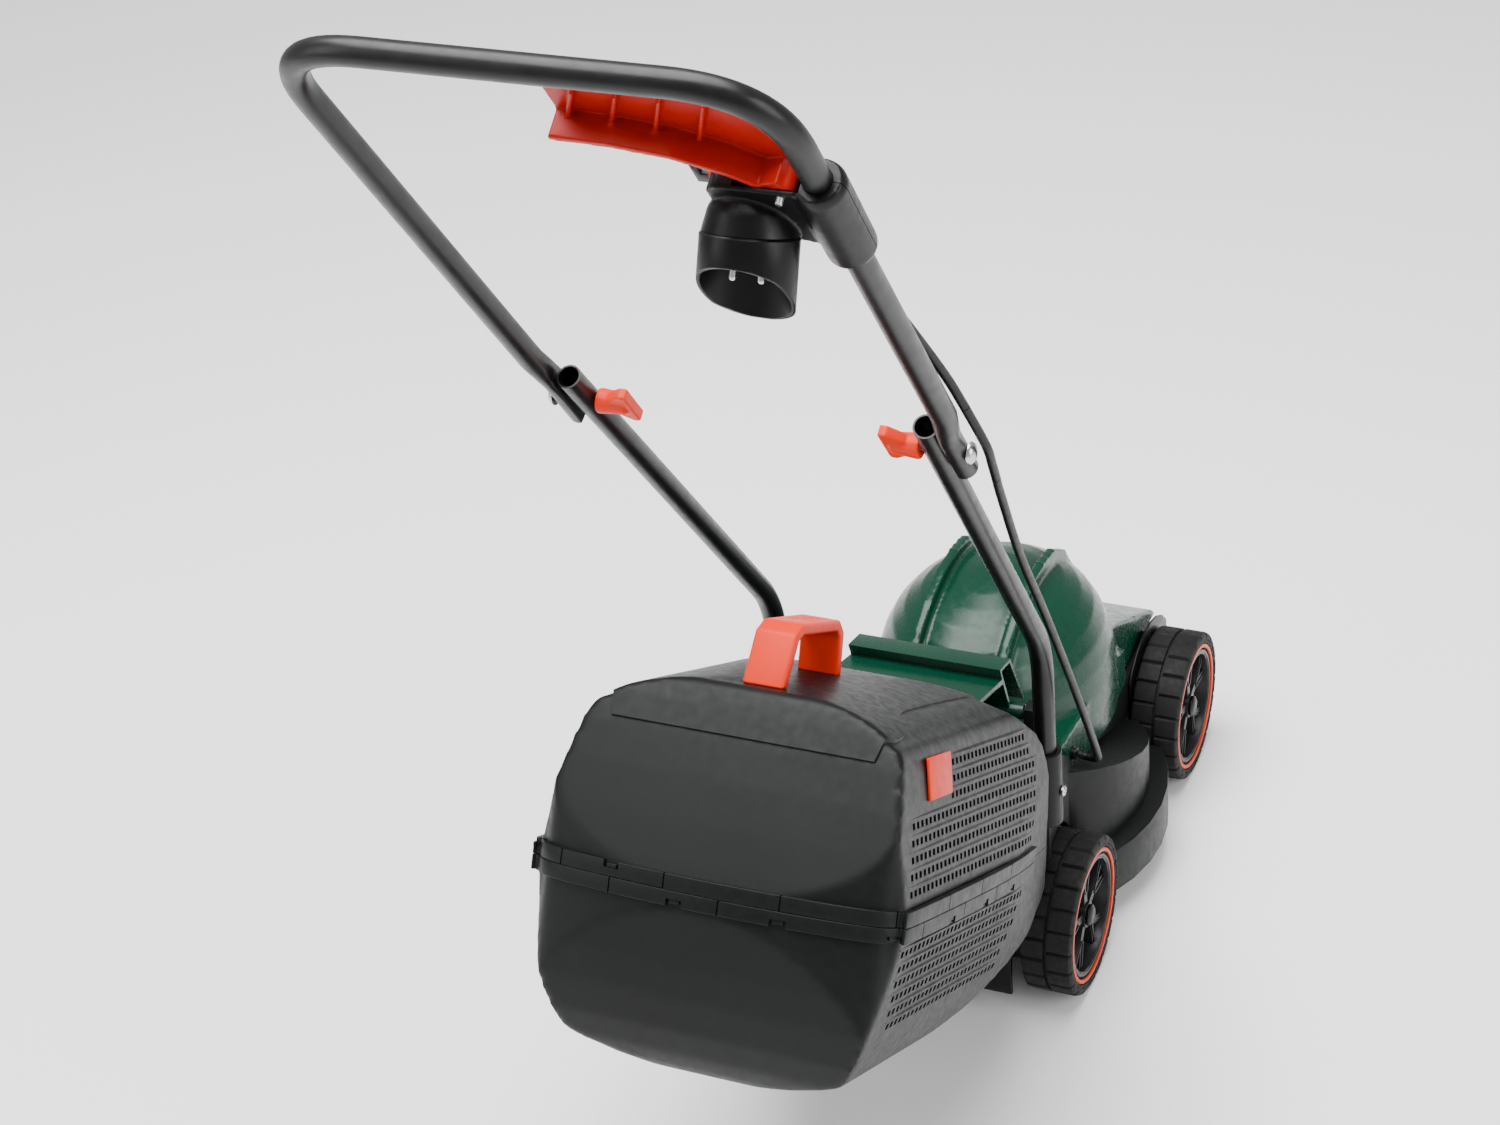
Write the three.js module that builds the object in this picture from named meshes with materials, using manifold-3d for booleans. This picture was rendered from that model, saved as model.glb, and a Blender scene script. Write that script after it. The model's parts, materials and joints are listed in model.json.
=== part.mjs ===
// Corded electric rotary lawn mower: a plastic deck on four wheels, a rigid grass box behind it
// and a folding U-shaped steel handle with the switch box, bail lever and plug inlet.
// Millimetres, +Z up, +Y towards the front, origin on the ground under the middle of the mower.
import * as THREE from "three";
import { mergeVertices } from "three/addons/utils/BufferGeometryUtils.js";
import Module from "manifold-3d";

const wasm = await Module();
wasm.setup();

// ---------------------------------------------------------------- driving dimensions

const REAR_AXLE_Y = 92; // the rest of the mower is laid out from the rear axle
const WHEELBASE = 332;
const GAP = 0.3; // between pieces that touch
const V = (x, y, z) => new THREE.Vector3(x, y, z);

const WHEEL_R = 73;
const WHEEL_INNER_X = 105;
const WHEEL_OUTER_X = 152;
const WHEEL_FACETS = 20;
const DECK_FACETS = 36;
const HOOD_FACETS = 24;
const RIM_R = 56.7;
const AXLE_R = 6;

const BLADE_Y = WHEELBASE / 2; // motor shaft, seen from above
const BLADE_R = 132;
const BLADE_Z = 46;
const CHAMBER_R = 138;
const WALL = 3;
const DRUM_R = 148;
const APRON_R = 165;
const APRON_TOP_Z = 78;
const APRON_BOTTOM_Z = 32;

const TUBE_R = 9.5;
const TUBE_BORE_R = 8.1;
const LOWER_TUBE_X = 121; // where it stands in the deck
const SOCKET_Y = -30;
const BEND_Z = 378;
const LOWER_TUBE_TOP = new THREE.Vector3(138, -308, 752);

const BOLT_Y = -287; // the fold axis of the handle
const BOLT_Z = 722;
const HANDLE_LEAN = THREE.MathUtils.degToRad(35.94); // of the legs, from upright
const HANDLE_LENGTH = 499; // from the fold axis to the top bar
const LEG_X_LOW = 158;
const LEG_X_HIGH = 164;
const HANDLE_CORNER_R = 66;
const SADDLE_FACE_X = 147.9; // flat inner face of the crimped leg ends

const FLAP_PIN_Y = 30;
const FLAP_PIN_Z = 262;

const BOX_TILT = THREE.MathUtils.degToRad(29.2); // the grass box rises to the rear
const SEAM_W = 141;
const BOX_WALL = 2.4;

const CABLE_R = 3.5;
const GROMMET = V(104, 92, 178); // where the motor cable enters the hood

// ---------------------------------------------------------------- materials

const paint = (color, roughness, metalness = 0) =>
  new THREE.MeshStandardMaterial({ color, roughness, metalness });
const charcoal = paint("#2f3131", 0.62);
const black = paint("#141516", 0.55);
const green = paint("#08503a", 0.35);
const orange = paint("#f04b19", 0.4);
const red = paint("#cd1e0a", 0.35);
const rubber = paint("#191a1b", 0.85);
const wheelGrey = paint("#3a3c3e", 0.45);
const tubePaint = paint("#161718", 0.4, 0.3);
const steel = paint("#b9bcc0", 0.3, 1);
const cablePaint = paint("#0d0d0e", 0.5);
const motorGrey = paint("#6b6e70", 0.5, 0.6);

// ---------------------------------------------------------------- solids

// A closed three.js geometry as a manifold-3d solid, whichever way its faces were wound.
function solid(geometry) {
  const bare = new THREE.BufferGeometry();
  bare.setAttribute("position", geometry.getAttribute("position"));
  bare.setIndex(geometry.index);
  const merged = mergeVertices(bare, 1e-3);
  const vertProperties = merged.getAttribute("position").array;
  const triVerts = new Uint32Array(merged.index.array);
  const made = new wasm.Manifold(new wasm.Mesh({ numProp: 3, vertProperties, triVerts }));
  if (made.volume() > 0) return made;
  return new wasm.Manifold(new wasm.Mesh({ numProp: 3, vertProperties, triVerts: triVerts.reverse() }));
}

function geometryOf(made) {
  const { vertProperties, triVerts } = made.getMesh();
  const geometry = new THREE.BufferGeometry();
  geometry.setAttribute("position", new THREE.BufferAttribute(vertProperties, 3));
  geometry.setIndex(new THREE.BufferAttribute(triVerts, 1));
  geometry.computeVertexNormals();
  return geometry;
}

const joined = (first, ...rest) => rest.reduce((sum, piece) => sum.add(piece), first);
const moved = (made, x, y, z) => made.translate([x, y, z]);
const mirroredX = (made) => made.mirror([1, 0, 0]);
const bothSides = (made) => made.add(mirroredX(made));

function block([x0, x1], [y0, y1], [z0, z1]) {
  const geometry = new THREE.BoxGeometry(x1 - x0, y1 - y0, z1 - z0);
  geometry.translate((x0 + x1) / 2, (y0 + y1) / 2, (z0 + z1) / 2);
  return solid(geometry);
}

// An outline of [a, b] points pushed along the third axis, from low to high.
const PLANES = {
  xy: new THREE.Matrix4(),
  yz: new THREE.Matrix4().makeBasis(
    new THREE.Vector3(0, 1, 0), new THREE.Vector3(0, 0, 1), new THREE.Vector3(1, 0, 0)),
  xz: new THREE.Matrix4().makeBasis(
    new THREE.Vector3(1, 0, 0), new THREE.Vector3(0, 0, 1), new THREE.Vector3(0, -1, 0)),
};
function prism(plane, outline, low, high) {
  const shape = outline instanceof THREE.Shape ? outline : shapeOf(outline);
  const geometry = new THREE.ExtrudeGeometry(shape, {
    depth: high - low, bevelEnabled: false, curveSegments: 6,
  });
  geometry.translate(0, 0, plane === "xz" ? -high : low);
  return solid(geometry.applyMatrix4(PLANES[plane]));
}

const shapeOf = (outline) => new THREE.Shape(outline.map(([a, b]) => new THREE.Vector2(a, b)));

// A profile of [radius, height] points turned about the X or Z axis.
function turned(axis, profile, facets) {
  const points = profile.map(([r, h]) => new THREE.Vector2(r, h));
  const geometry = new THREE.LatheGeometry(points, facets);
  if (axis === "z") geometry.rotateX(Math.PI / 2);
  else geometry.rotateZ(-Math.PI / 2).rotateX(Math.PI / facets);
  return solid(geometry);
}

const disc = (axis, r, low, high, facets = 12) =>
  turned(axis, [[0, low], [r, low], [r, high], [0, high]], facets);

// A closed ring profile: repeats its first point.
const ringProfile = (points) => [...points, points[0]];

// A route through listed points, one step of the sweep to each point.
class Route extends THREE.Curve {
  constructor(points) {
    super();
    this.points = points;
  }
  getPoint(t, target = new THREE.Vector3()) {
    const at = Math.min(Math.max(t, 0), 1) * (this.points.length - 1);
    const low = Math.min(Math.floor(at), this.points.length - 2);
    return target.lerpVectors(this.points[low], this.points[low + 1], at - low);
  }
  getUtoTmapping(u) {
    return u;
  }
}

// The corners of a route, each rounded over a given length into a few short steps.
function rounded(corners, reach, steps = 6) {
  const points = [corners[0]];
  for (let i = 1; i < corners.length - 1; i++) {
    const back = corners[i].clone().sub(corners[i - 1]).setLength(reach);
    const ahead = corners[i + 1].clone().sub(corners[i]).setLength(reach);
    const from = corners[i].clone().sub(back);
    const to = corners[i].clone().add(ahead);
    points.push(...new THREE.QuadraticBezierCurve3(from, corners[i], to).getPoints(steps));
  }
  return [...points, corners.at(-1)];
}

function rod(points, radius, sides = 12, bore = 0) {
  const section = new THREE.Shape().absarc(0, 0, radius, 0, Math.PI * 2);
  if (bore) section.holes.push(new THREE.Path().absarc(0, 0, bore, 0, Math.PI * 2, true));
  return solid(new THREE.ExtrudeGeometry(section, {
    steps: points.length - 1, curveSegments: sides / 2, extrudePath: new Route(points), bevelEnabled: false,
  }));
}

// ---------------------------------------------------------------- the scene graph

const mower = new THREE.Group();
mower.name = "rotary_lawn_mower";

const chassis = new THREE.Group(); // laid out from the rear axle
chassis.position.y = REAR_AXLE_Y;
mower.add(chassis);

const handleFrame = new THREE.Group(); // Z up the legs, Y forward of their plane
handleFrame.position.set(0, BOLT_Y, BOLT_Z);
handleFrame.rotation.x = HANDLE_LEAN;
chassis.add(handleFrame);

const boxFrame = new THREE.Group(); // Y forward along the slope, Z square to it
boxFrame.rotation.x = -BOX_TILT;
chassis.add(boxFrame);

function add(group, name, made, material) {
  const mesh = new THREE.Mesh(geometryOf(made), material);
  mesh.name = name;
  group.add(mesh);
  return mesh;
}

// ---------------------------------------------------------------- wheels

const facetRadius = (r) => r / Math.cos(Math.PI / WHEEL_FACETS);

function tyre() {
  const r = facetRadius(WHEEL_R);
  return turned("x", ringProfile([
    [RIM_R + GAP, WHEEL_INNER_X + 2],
    [r - 4, WHEEL_INNER_X],
    [r, WHEEL_INNER_X + 4],
    [r, WHEEL_OUTER_X - 4],
    [r - 4, WHEEL_OUTER_X],
    [62.5, WHEEL_OUTER_X],
    [62.5, WHEEL_OUTER_X - 3],
    [RIM_R + GAP, WHEEL_OUTER_X - 3],
  ]), WHEEL_FACETS);
}

function accentRing() {
  const low = WHEEL_OUTER_X - 3 + GAP;
  return turned("x", ringProfile([[58, low], [62, low], [62, low + 2], [58, low + 2]]), WHEEL_FACETS);
}

const HUB_R = 12;
const SPOKES = 5;
function rim() {
  const webX = 130;
  const wheel = turned("x", ringProfile([
    [AXLE_R + 0.4, 112], [RIM_R, 112], [RIM_R, 149], [52, 149], [50, webX], [HUB_R, webX],
    [HUB_R, 146], [AXLE_R + 0.4, 146],
  ]), WHEEL_FACETS);
  const halfY = [[0, 10], [4, 10], [4, 26], [15.5, 49], [8.5, 51.5], [0, 33]];
  const fork = [...halfY, ...halfY.slice(1, -1).reverse().map(([a, b]) => [-a, b])];
  const spokes = [...Array(SPOKES)].map((_, i) =>
    prism("yz", fork, webX - 1, 144).rotate([(i * 360) / SPOKES, 0, 0]));
  return joined(wheel, ...spokes);
}

const wheelCap = () =>
  turned("x", [[0, 146 + GAP], [10, 146 + GAP], [10, 148.5], [7, 150.5], [0, 150.5]], 12);

for (const [end, y] of [["rear", 0], ["front", WHEELBASE]]) {
  for (const [side, turn] of [["right", 0], ["left", Math.PI]]) {
    const corner = new THREE.Group();
    corner.position.set(0, y, WHEEL_R);
    corner.rotation.z = turn;
    chassis.add(corner);
    add(corner, `tyre_${end}_${side}`, tyre(), rubber);
    add(corner, `rim_${end}_${side}`, rim(), wheelGrey);
    add(corner, `accent_ring_${end}_${side}`, accentRing(), orange);
    add(corner, `wheel_cap_${end}_${side}`, wheelCap(), black);
  }
  const axle = add(chassis, `${end}_axle`, disc("x", AXLE_R, -145.5, 145.5), steel);
  axle.position.set(0, y, WHEEL_R);
}

// ---------------------------------------------------------------- deck

const WELL_R = WHEEL_R + 5;
const AXLE_HOLE_R = AXLE_R + 0.5;

// Everything that the four wheels sweep, grown by a margin.
function wheelWells(margin) {
  const one = disc("x", WELL_R + margin, WHEEL_INNER_X - 2.5 - margin, 200, 24);
  const pair = bothSides(moved(one, 0, 0, WHEEL_R));
  return joined(pair, moved(pair, 0, WHEELBASE, 0));
}

// The volute rises to the rear: everything under its sloping roof.
const roofZ = (y) => 133 + (172 - y) * 0.39;
const ROOF_END_Y = 267;
const underRoof = (drop) => prism("yz", [
  [-200, 0], [600, 0], [600, 60], [ROOF_END_Y, roofZ(ROOF_END_Y) - drop], [-200, roofZ(-200) - drop]], -200, 200);

const TUNNEL_SIDE = [[107, 75], [122, -58], [-122, -58], [-107, 75]];
function tunnel(inset) {
  const plan = TUNNEL_SIDE.map(([x, y]) => [x - Math.sign(x) * inset, y]);
  const side = [
    [75, 78 + inset], [-20, 102 + inset], [-58, 144 + inset],
    [-58, 262 - inset], [-25, 266 - inset], [75, 186 - inset]];
  const full = prism("xy", plan, 0, 300).intersect(prism("yz", side, -150, 150));
  return inset ? full.add(moved(full, 0, -6, 0)) : full;
}

const NOSE = [[100, 110], [240, 50], [378, 50], [392, 66], [392, 104], [352, 138], [100, 138]];

function deckHousing() {
  const drumFoot = APRON_TOP_Z - 8;
  const drumForm = turned("z", [[0, drumFoot], [DRUM_R, drumFoot], [DRUM_R - 2, 220], [0, 220]], DECK_FACETS);
  const drum = moved(drumForm, 0, BLADE_Y, 0).intersect(underRoof(0));
  const apron = moved(disc("z", APRON_R, APRON_BOTTOM_Z, APRON_TOP_Z, DECK_FACETS), 0, BLADE_Y, 0)
    .intersect(block([-170, 170], [BLADE_Y - 86, BLADE_Y + 86], [0, 200]));
  const skirt = moved(disc("z", CHAMBER_R + WALL, APRON_BOTTOM_Z, APRON_TOP_Z, DECK_FACETS), 0, BLADE_Y, 0);
  const rear = block([-101, 101], [-58, 70], [58, 160]);
  const nose = prism("yz", NOSE, -101, 101);
  const socket = bothSides(moved(disc("z", 14, 198, 272, 16), LOWER_TUBE_X, SOCKET_Y, 0));
  const rib = bothSides(block([112, LOWER_TUBE_X + 2], [SOCKET_Y - 3, SOCKET_Y + 3], [150, 205]));
  const hingeEars = bothSides(block([84, 96], [FLAP_PIN_Y - 8, FLAP_PIN_Y + 8], [200, FLAP_PIN_Z + 8]));
  const outside = joined(drum, apron, skirt, rear, nose, tunnel(0), socket, rib, hingeEars)
    .subtract(wheelWells(0));

  const chamber = joined(
    moved(disc("z", CHAMBER_R, 0, 220, DECK_FACETS), 0, BLADE_Y, 0).intersect(underRoof(WALL)),
    moved(turned("z", ringProfile([
      [DRUM_R - 4, 0], [APRON_R - WALL, 0], [APRON_R - WALL, APRON_TOP_Z - WALL],
      [DRUM_R - 4, APRON_TOP_Z - WALL]]), DECK_FACETS), 0, BLADE_Y, 0),
  ).subtract(wheelWells(WALL));
  const noseHollow = prism("yz", [[300, 0], [374, 0], [388, 68], [388, 102], [350, 134], [300, 134]], -97, 97)
    .subtract(moved(disc("z", CHAMBER_R + WALL, 0, 220, DECK_FACETS), 0, BLADE_Y, 0));
  const rearHollow = block([-97, 97], [-54, 20], [0, 90])
    .subtract(moved(disc("z", CHAMBER_R + WALL, 0, 220, DECK_FACETS), 0, BLADE_Y, 0));
  const motorHole = moved(disc("z", 40, 100, 200, 24), 0, BLADE_Y, 0);
  const axleHole = disc("x", AXLE_HOLE_R, -150, 150);
  const tubeHole = bothSides(moved(disc("z", TUBE_R + 0.5, 206, 300, 24), LOWER_TUBE_X, SOCKET_Y, 0));
  const screwHole = bothSides(moved(disc("x", 2.3, 125, 150), 0, SOCKET_Y, 231));
  const pinHole = moved(disc("x", 3.3, -120, 120), 0, FLAP_PIN_Y, FLAP_PIN_Z);
  return [
    chamber, tunnel(WALL), noseHollow, rearHollow, motorHole, tubeHole, screwHole, pinHole,
    moved(axleHole, 0, 0, WHEEL_R), moved(axleHole, 0, WHEELBASE, WHEEL_R),
  ].reduce((deck, hollow) => deck.subtract(hollow), outside);
}

add(chassis, "deck_housing", deckHousing(), charcoal);

// ---------------------------------------------------------------- hood

const HOOD_PROFILE = [
  [111, 150], [111, 178], [108, 212], [98, 243], [78, 269], [48, 288], [20, 297], [0, 299]];
const HOOD_Y = 186;
const HOOD_STRETCH = 1.18; // longer than wide

// The dome grown outwards and upwards, down to a foot below its skirt.
function domeForm(outward, upward, foot = 150) {
  const profile = HOOD_PROFILE.map(([r, z]) => [Math.max(r + outward, 0), z + upward]);
  const axisTop = profile.at(-1)[0] > 0 ? [[0, profile.at(-1)[1]]] : [];
  const dome = turned("z", [[0, foot], ...profile, ...axisTop], HOOD_FACETS);
  return moved(dome.scale([1, HOOD_STRETCH, 1]), 0, HOOD_Y, 0);
}

function hoodForm(inset) {
  const neck = prism("yz", [
    [200, 142 - inset], [396 - inset, 110 - inset], [396 - inset, 126 - inset],
    [372, 150 - inset], [318, 178 - inset], [200, 236 - inset]], -96 + inset, 96 - inset);
  const shoulders = prism("yz", [
    [60 + inset, 142 - inset], [256 - inset, 142 - inset], [256 - inset, 182 - inset],
    [230, 190 - inset], [110, 200 - inset], [60 + inset, 205 - inset]], -104 + inset, 104 - inset);
  return joined(domeForm(-inset, -inset, 150 - inset), neck, shoulders);
}

function motorHood() {
  const ridges = bothSides(prism("yz", [
    [62, 200], [70, 246], [100, 276], [150, 299], [200, 303], [236, 298], [282, 262], [282, 200]], 38, 46)
    .intersect(domeForm(3, 4)));
  return joined(hoodForm(0), ridges)
    .subtract(hoodForm(WALL))
    .subtract(block([-130, 130], [-100, 420], [0, 142]))
    .subtract(deckBlank(GAP))
    .subtract(flapSweep())
    .subtract(moved(disc("x", 7, 90, 130), 0, GROMMET.y, GROMMET.z))
    .subtract(vent(GAP).add(mirroredX(vent(GAP))));
}

// What the hood has to stand clear of.
function deckBlank(margin) {
  const drum = moved(disc("z", DRUM_R + margin, 0, 230, DECK_FACETS), 0, BLADE_Y, 0)
    .intersect(underRoof(-margin));
  const nose = prism("yz", [
    [60, 0], [392 + margin, 0], [392 + margin, 104 + margin], [352 + margin, 138 + margin],
    [60, 138 + margin]], -101 - margin, 101 + margin);
  const duct = prism("yz", [
    [75 + margin, 0], [-70, 0], [-70, 262 + margin], [-25, 266 + margin],
    [75 + margin, 186 + margin]], -123, 123);
  return joined(drum, nose, duct, wheelWells(0));
}

const flapSweep = () => moved(disc("x", 45, -98, 98, 24), 0, FLAP_PIN_Y, FLAP_PIN_Z);

// The black louvre insert in the side of the dome.
function vent(margin) {
  return prism("yz", [
    [196 - margin, 212 - margin], [262 + margin, 206 - margin],
    [250 + margin, 248 + margin], [204 - margin, 262 + margin]], 66, 130)
    .intersect(domeForm(margin - 1, 0))
    .subtract(domeForm(-5 - margin, -4 - margin));
}

add(chassis, "motor_hood", motorHood(), green);
add(chassis, "hood_vent_right", vent(0), black);
add(chassis, "hood_vent_left", mirroredX(vent(0)), black);

// The black lining of each front wheel arch.
function wheelArch() {
  const lining = disc("x", 83, 101 + GAP, 103.3, 24).subtract(disc("x", 44, 100, 105, 24))
    .intersect(block([90, 110], [-90, 90], [12, 90]));
  return moved(lining, 0, WHEELBASE, WHEEL_R)
    .intersect(block([90, 110], [257, 396], [0, 170]))
    .subtract(moved(disc("z", DRUM_R + GAP, 0, 142, DECK_FACETS), 0, BLADE_Y, 0));
}
add(chassis, "wheel_arch_right", wheelArch(), black);
add(chassis, "wheel_arch_left", mirroredX(wheelArch()), black);

const rearShield = prism("yz", [
  [-58 - GAP, 141], [-62, 141], [-74, 44], [-72, 26], [-68, 26], [-69, 44], [-58 - GAP, 128]], -97, 97);
add(chassis, "rear_shield", rearShield, black);

// ---------------------------------------------------------------- motor and blade

const motor = new THREE.Group();
motor.position.set(0, BLADE_Y, 0);
chassis.add(motor);

const SHAFT_R = 6;
const BORE = SHAFT_R + 0.4;
const motorBody = turned("z", ringProfile([
  [BORE, 128], [37, 128], [37, 160], [54, 160], [54, 222], [40, 236], [BORE, 236]]), 24);
add(motor, "motor_body", motorBody, motorGrey);
add(motor, "motor_shaft", disc("z", SHAFT_R, BLADE_Z + WALL + GAP, 242), steel);

function blade() {
  const bar = block([-BLADE_R, BLADE_R], [-22, 22], [BLADE_Z, BLADE_Z + WALL]);
  const wing = prism("yz", [
    [12, BLADE_Z], [22, BLADE_Z], [36, 60], [33, 62], [20, 49], [12, 49]], 70, BLADE_R);
  const reach = disc("z", BLADE_R, 0, 100, 36);
  return joined(bar, wing, wing.rotate([0, 0, 180])).intersect(reach).subtract(disc("z", 5.4, 0, 100));
}
add(motor, "blade", blade(), steel);

const bladeBolt = joined(
  disc("z", 10, BLADE_Z - 8, BLADE_Z - GAP, 6), disc("z", 5, BLADE_Z - 2, BLADE_Z + WALL));
add(motor, "blade_bolt", bladeBolt, steel);

function fan() {
  const plate = disc("z", 58, 50, 53, 24);
  const vane = block([14, 56], [-1.2, 1.2], [52, 70]);
  const vanes = [...Array(6)].map((_, i) => vane.rotate([0, 0, i * 60]));
  return joined(plate, disc("z", 15, 50, 78), ...vanes).subtract(disc("z", BORE, 0, 100));
}
add(motor, "cooling_fan", fan(), black);

// ---------------------------------------------------------------- discharge flap

// A channel section in front of the hinge and a lip that lies over the mouth of the grass box.
function dischargeFlap() {
  const section = [
    [66, 252], [33, 314], [6, 320], [10.5, 307], [-70, 331], [-71, 327.5], [12.5, 301], [27, 262],
    [31, 262], [10, 316], [31, 311], [62.5, 251]];
  const knuckle = moved(disc("x", 7, -82, 82), 0, FLAP_PIN_Y, FLAP_PIN_Z);
  const bore = moved(disc("x", 3.4, -90, 90), 0, FLAP_PIN_Y, FLAP_PIN_Z);
  return joined(prism("yz", section, -70, 70), knuckle).subtract(bore);
}
add(chassis, "discharge_flap", dischargeFlap(), green);
add(chassis, "flap_pin", moved(disc("x", 3, -98, 98), 0, FLAP_PIN_Y, FLAP_PIN_Z), steel);

// ---------------------------------------------------------------- lower handle tubes

const lowerTubeRoute = rounded([
  LOWER_TUBE_TOP, V(LOWER_TUBE_X, SOCKET_Y, BEND_Z), V(LOWER_TUBE_X, SOCKET_Y, 208)], 36);
const boltHole = moved(disc("x", 3.3, 90, 180), 0, BOLT_Y, BOLT_Z);
const lowerTube = rod(lowerTubeRoute, TUBE_R, 12, TUBE_BORE_R)
  .subtract(boltHole)
  .subtract(moved(disc("x", 2.3, 120, 140), 0, SOCKET_Y, 231));
add(chassis, "lower_tube_right", lowerTube, tubePaint);
add(chassis, "lower_tube_left", mirroredX(lowerTube), tubePaint);

const tubeScrew = moved(
  joined(disc("x", 2, 122, 136), disc("x", 4.5, 135 + GAP, 138.5, 6)), 0, SOCKET_Y, 231);
add(chassis, "tube_screw_right", tubeScrew, steel);
add(chassis, "tube_screw_left", mirroredX(tubeScrew), steel);

const handleBolt = joined(
  disc("x", 3, 113, 163),
  turned("x", [[0, 161.5 + GAP], [8, 161.5 + GAP], [7, 164.5], [4, 166.5], [0, 167]], 12));
add(handleFrame, "handle_bolt_right", handleBolt, steel);
add(handleFrame, "handle_bolt_left", mirroredX(handleBolt), steel);

// A wing knob screwed on the inner end of each handle bolt.
function knob() {
  const hub = turned("x", [[0, 102], [8, 104], [10, 126.5], [0, 126.5]], 12);
  const wing = prism("xz", [[98, -19], [104, -20], [116, -10], [116, 10], [104, 20], [98, 19]], -4.5, 4.5);
  return hub.add(wing).subtract(disc("x", 3.3, 112, 130));
}
add(handleFrame, "knob_right", knob(), orange);
add(handleFrame, "knob_left", mirroredX(knob()), orange);

// ---------------------------------------------------------------- upper handle

function upperTube() {
  const half = [V(152, 0, -28), V(152, 0, 28), V(LEG_X_LOW, 0, 62)];
  const top = V(LEG_X_HIGH, 0, HANDLE_LENGTH);
  const flip = ({ x, y, z }) => V(-x, y, z);
  const bend = rounded([half.at(-1), top, flip(top), flip(half.at(-1))], HANDLE_CORNER_R, 7);
  const route = [...half.slice(0, 2), ...bend, ...half.slice(0, 2).reverse().map(flip)];
  return rod(route, TUBE_R, 12, TUBE_BORE_R)
    .subtract(block([-SADDLE_FACE_X, SADDLE_FACE_X], [-20, 20], [-40, 46]))
    .subtract(disc("x", 3.4, -180, 180));
}
add(handleFrame, "upper_handle_tube", upperTube(), tubePaint);

const legX = (z) => LEG_X_LOW + ((LEG_X_HIGH - LEG_X_LOW) * (z - 62)) / (HANDLE_LENGTH - 62);

const INLET = { at: V(112, -19, 356), tilt: THREE.MathUtils.degToRad(122.4), r: 31, length: 58 };
const inletTurn = THREE.MathUtils.radToDeg(INLET.tilt);
const LEVER_PIVOT = V(141, 0, 393);

function switchHousing(yLow, yHigh) {
  const outline = [
    [92, 340], [98, 334], [146, 334], [147, 306], [178, 306], [181, 310], [182, 398], [178, 402],
    [98, 402], [92, 396]];
  const leg = rod([V(legX(280), 0, 280), V(legX(430), 0, 430)], TUBE_R + 0.5, 24);
  const socket = moved(disc("z", INLET.r + GAP, -1, 90, 24).rotate([inletTurn, 0, 0]), ...INLET.at.toArray());
  const leverSlot = block([110, 153], [-9.5, 15.5], [374, 440]);
  const buttonPocket = block([80, 106], [3.6, 14.4], [357.6, 380.4]);
  const pinHole = moved(disc("x", 2.6, -17, 17).rotate([0, 0, 90]), LEVER_PIVOT.x, 0, LEVER_PIVOT.z);
  return [leg, socket, leverSlot, buttonPocket, pinHole].reduce(
    (housing, hollow) => housing.subtract(hollow), prism("xz", outline, yLow, yHigh));
}
add(handleFrame, "switch_housing_front", switchHousing(GAP / 2, 20), black);
add(handleFrame, "switch_housing_rear", switchHousing(-20, -GAP / 2), black);

const inlet = new THREE.Group();
inlet.position.copy(INLET.at);
inlet.rotation.x = INLET.tilt;
handleFrame.add(inlet);

// The plug inlet opens downwards; its rim is cut away on a slant.
function inletShroud() {
  const { r, length } = INLET;
  return turned("z", [
    [0, 0], [r, 0], [r, length], [r - 2.5, length], [r - 2.5, 3], [0, 3]], 24)
    .subtract(prism("yz", [
      [-40, length], [-40, length + 20], [40, length + 20], [40, length - 42], [20, length - 34]], -40, 40));
}
add(inlet, "inlet_shroud", inletShroud(), black);
for (const [side, x] of [["right", 9.5], ["left", -9.5]]) {
  const pin = turned("z", [[0, 3 + GAP], [2.4, 3 + GAP], [2.4, 28], [1.4, 30], [0, 30]], 10);
  add(inlet, `inlet_pin_${side}`, moved(pin, x, 0, 0), steel);
}

// The hook that holds a loop of the extension lead.
const cordHook = block([66, 92 - GAP], [14, 18], [350, 400])
  .subtract(block([71, 86], [10, 20], [360, 392]))
  .add(prism("xz", [[60, 386], [67, 386], [67, 391], [64, 391], [64, 398], [60, 398]], 14, 18));
add(handleFrame, "cord_hook", cordHook, black);

const lockButton = block([85, 98], [4, 14], [358, 380]);
add(handleFrame, "lock_button", lockButton, orange);

// ---------------------------------------------------------------- bail lever

function bailLever() {
  const lower = [[2, 430], [40, 428], [78, 421], [108, 408], [128, 394], [133, 387]];
  const upper = [[147, 387], [149, 396], [145, 412], [132, 438], [112, 464], [94, 478], [2, 484]];
  const web = prism("xz", [...lower, ...upper], 10.5, 14);
  const lipLine = lower.slice(0, 5);
  const lip = prism("xz", [...lipLine, ...lipLine.toReversed().map(([x, z]) => [x + 1, z + 5])], -9, 14);
  const below = prism("xz", [...lower, [133, 300], [-10, 300], [-10, 430]], -20, 20);
  const ribs = [8, 36, 64, 92].map((x) => {
    const foot = 430 - x / 12;
    return prism("xz", [[x, foot], [x + 3, foot], [x + 20, 466], [x + 17, 466]], 4, 12).subtract(below);
  });
  const boss = disc("x", 7.5, -8.5, 14).rotate([0, 0, 90]).translate([LEVER_PIVOT.x, 0, LEVER_PIVOT.z]);
  const neck = prism("xz", [[120, 397], [128, 391], [146, 396], [140, 404]], -8, 14);
  const bore = disc("x", 2.7, -20, 20).rotate([0, 0, 90]).translate([LEVER_PIVOT.x, 0, LEVER_PIVOT.z]);
  return joined(web, lip, boss, neck, ...ribs).subtract(bore);
}
add(handleFrame, "bail_lever", bailLever(), red);

const leverPin = disc("x", 2.4, -16.5, 16.5).rotate([0, 0, 90]).translate([LEVER_PIVOT.x, 0, LEVER_PIVOT.z]);
add(handleFrame, "lever_pin", leverPin, steel);

// ---------------------------------------------------------------- motor cable

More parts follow.
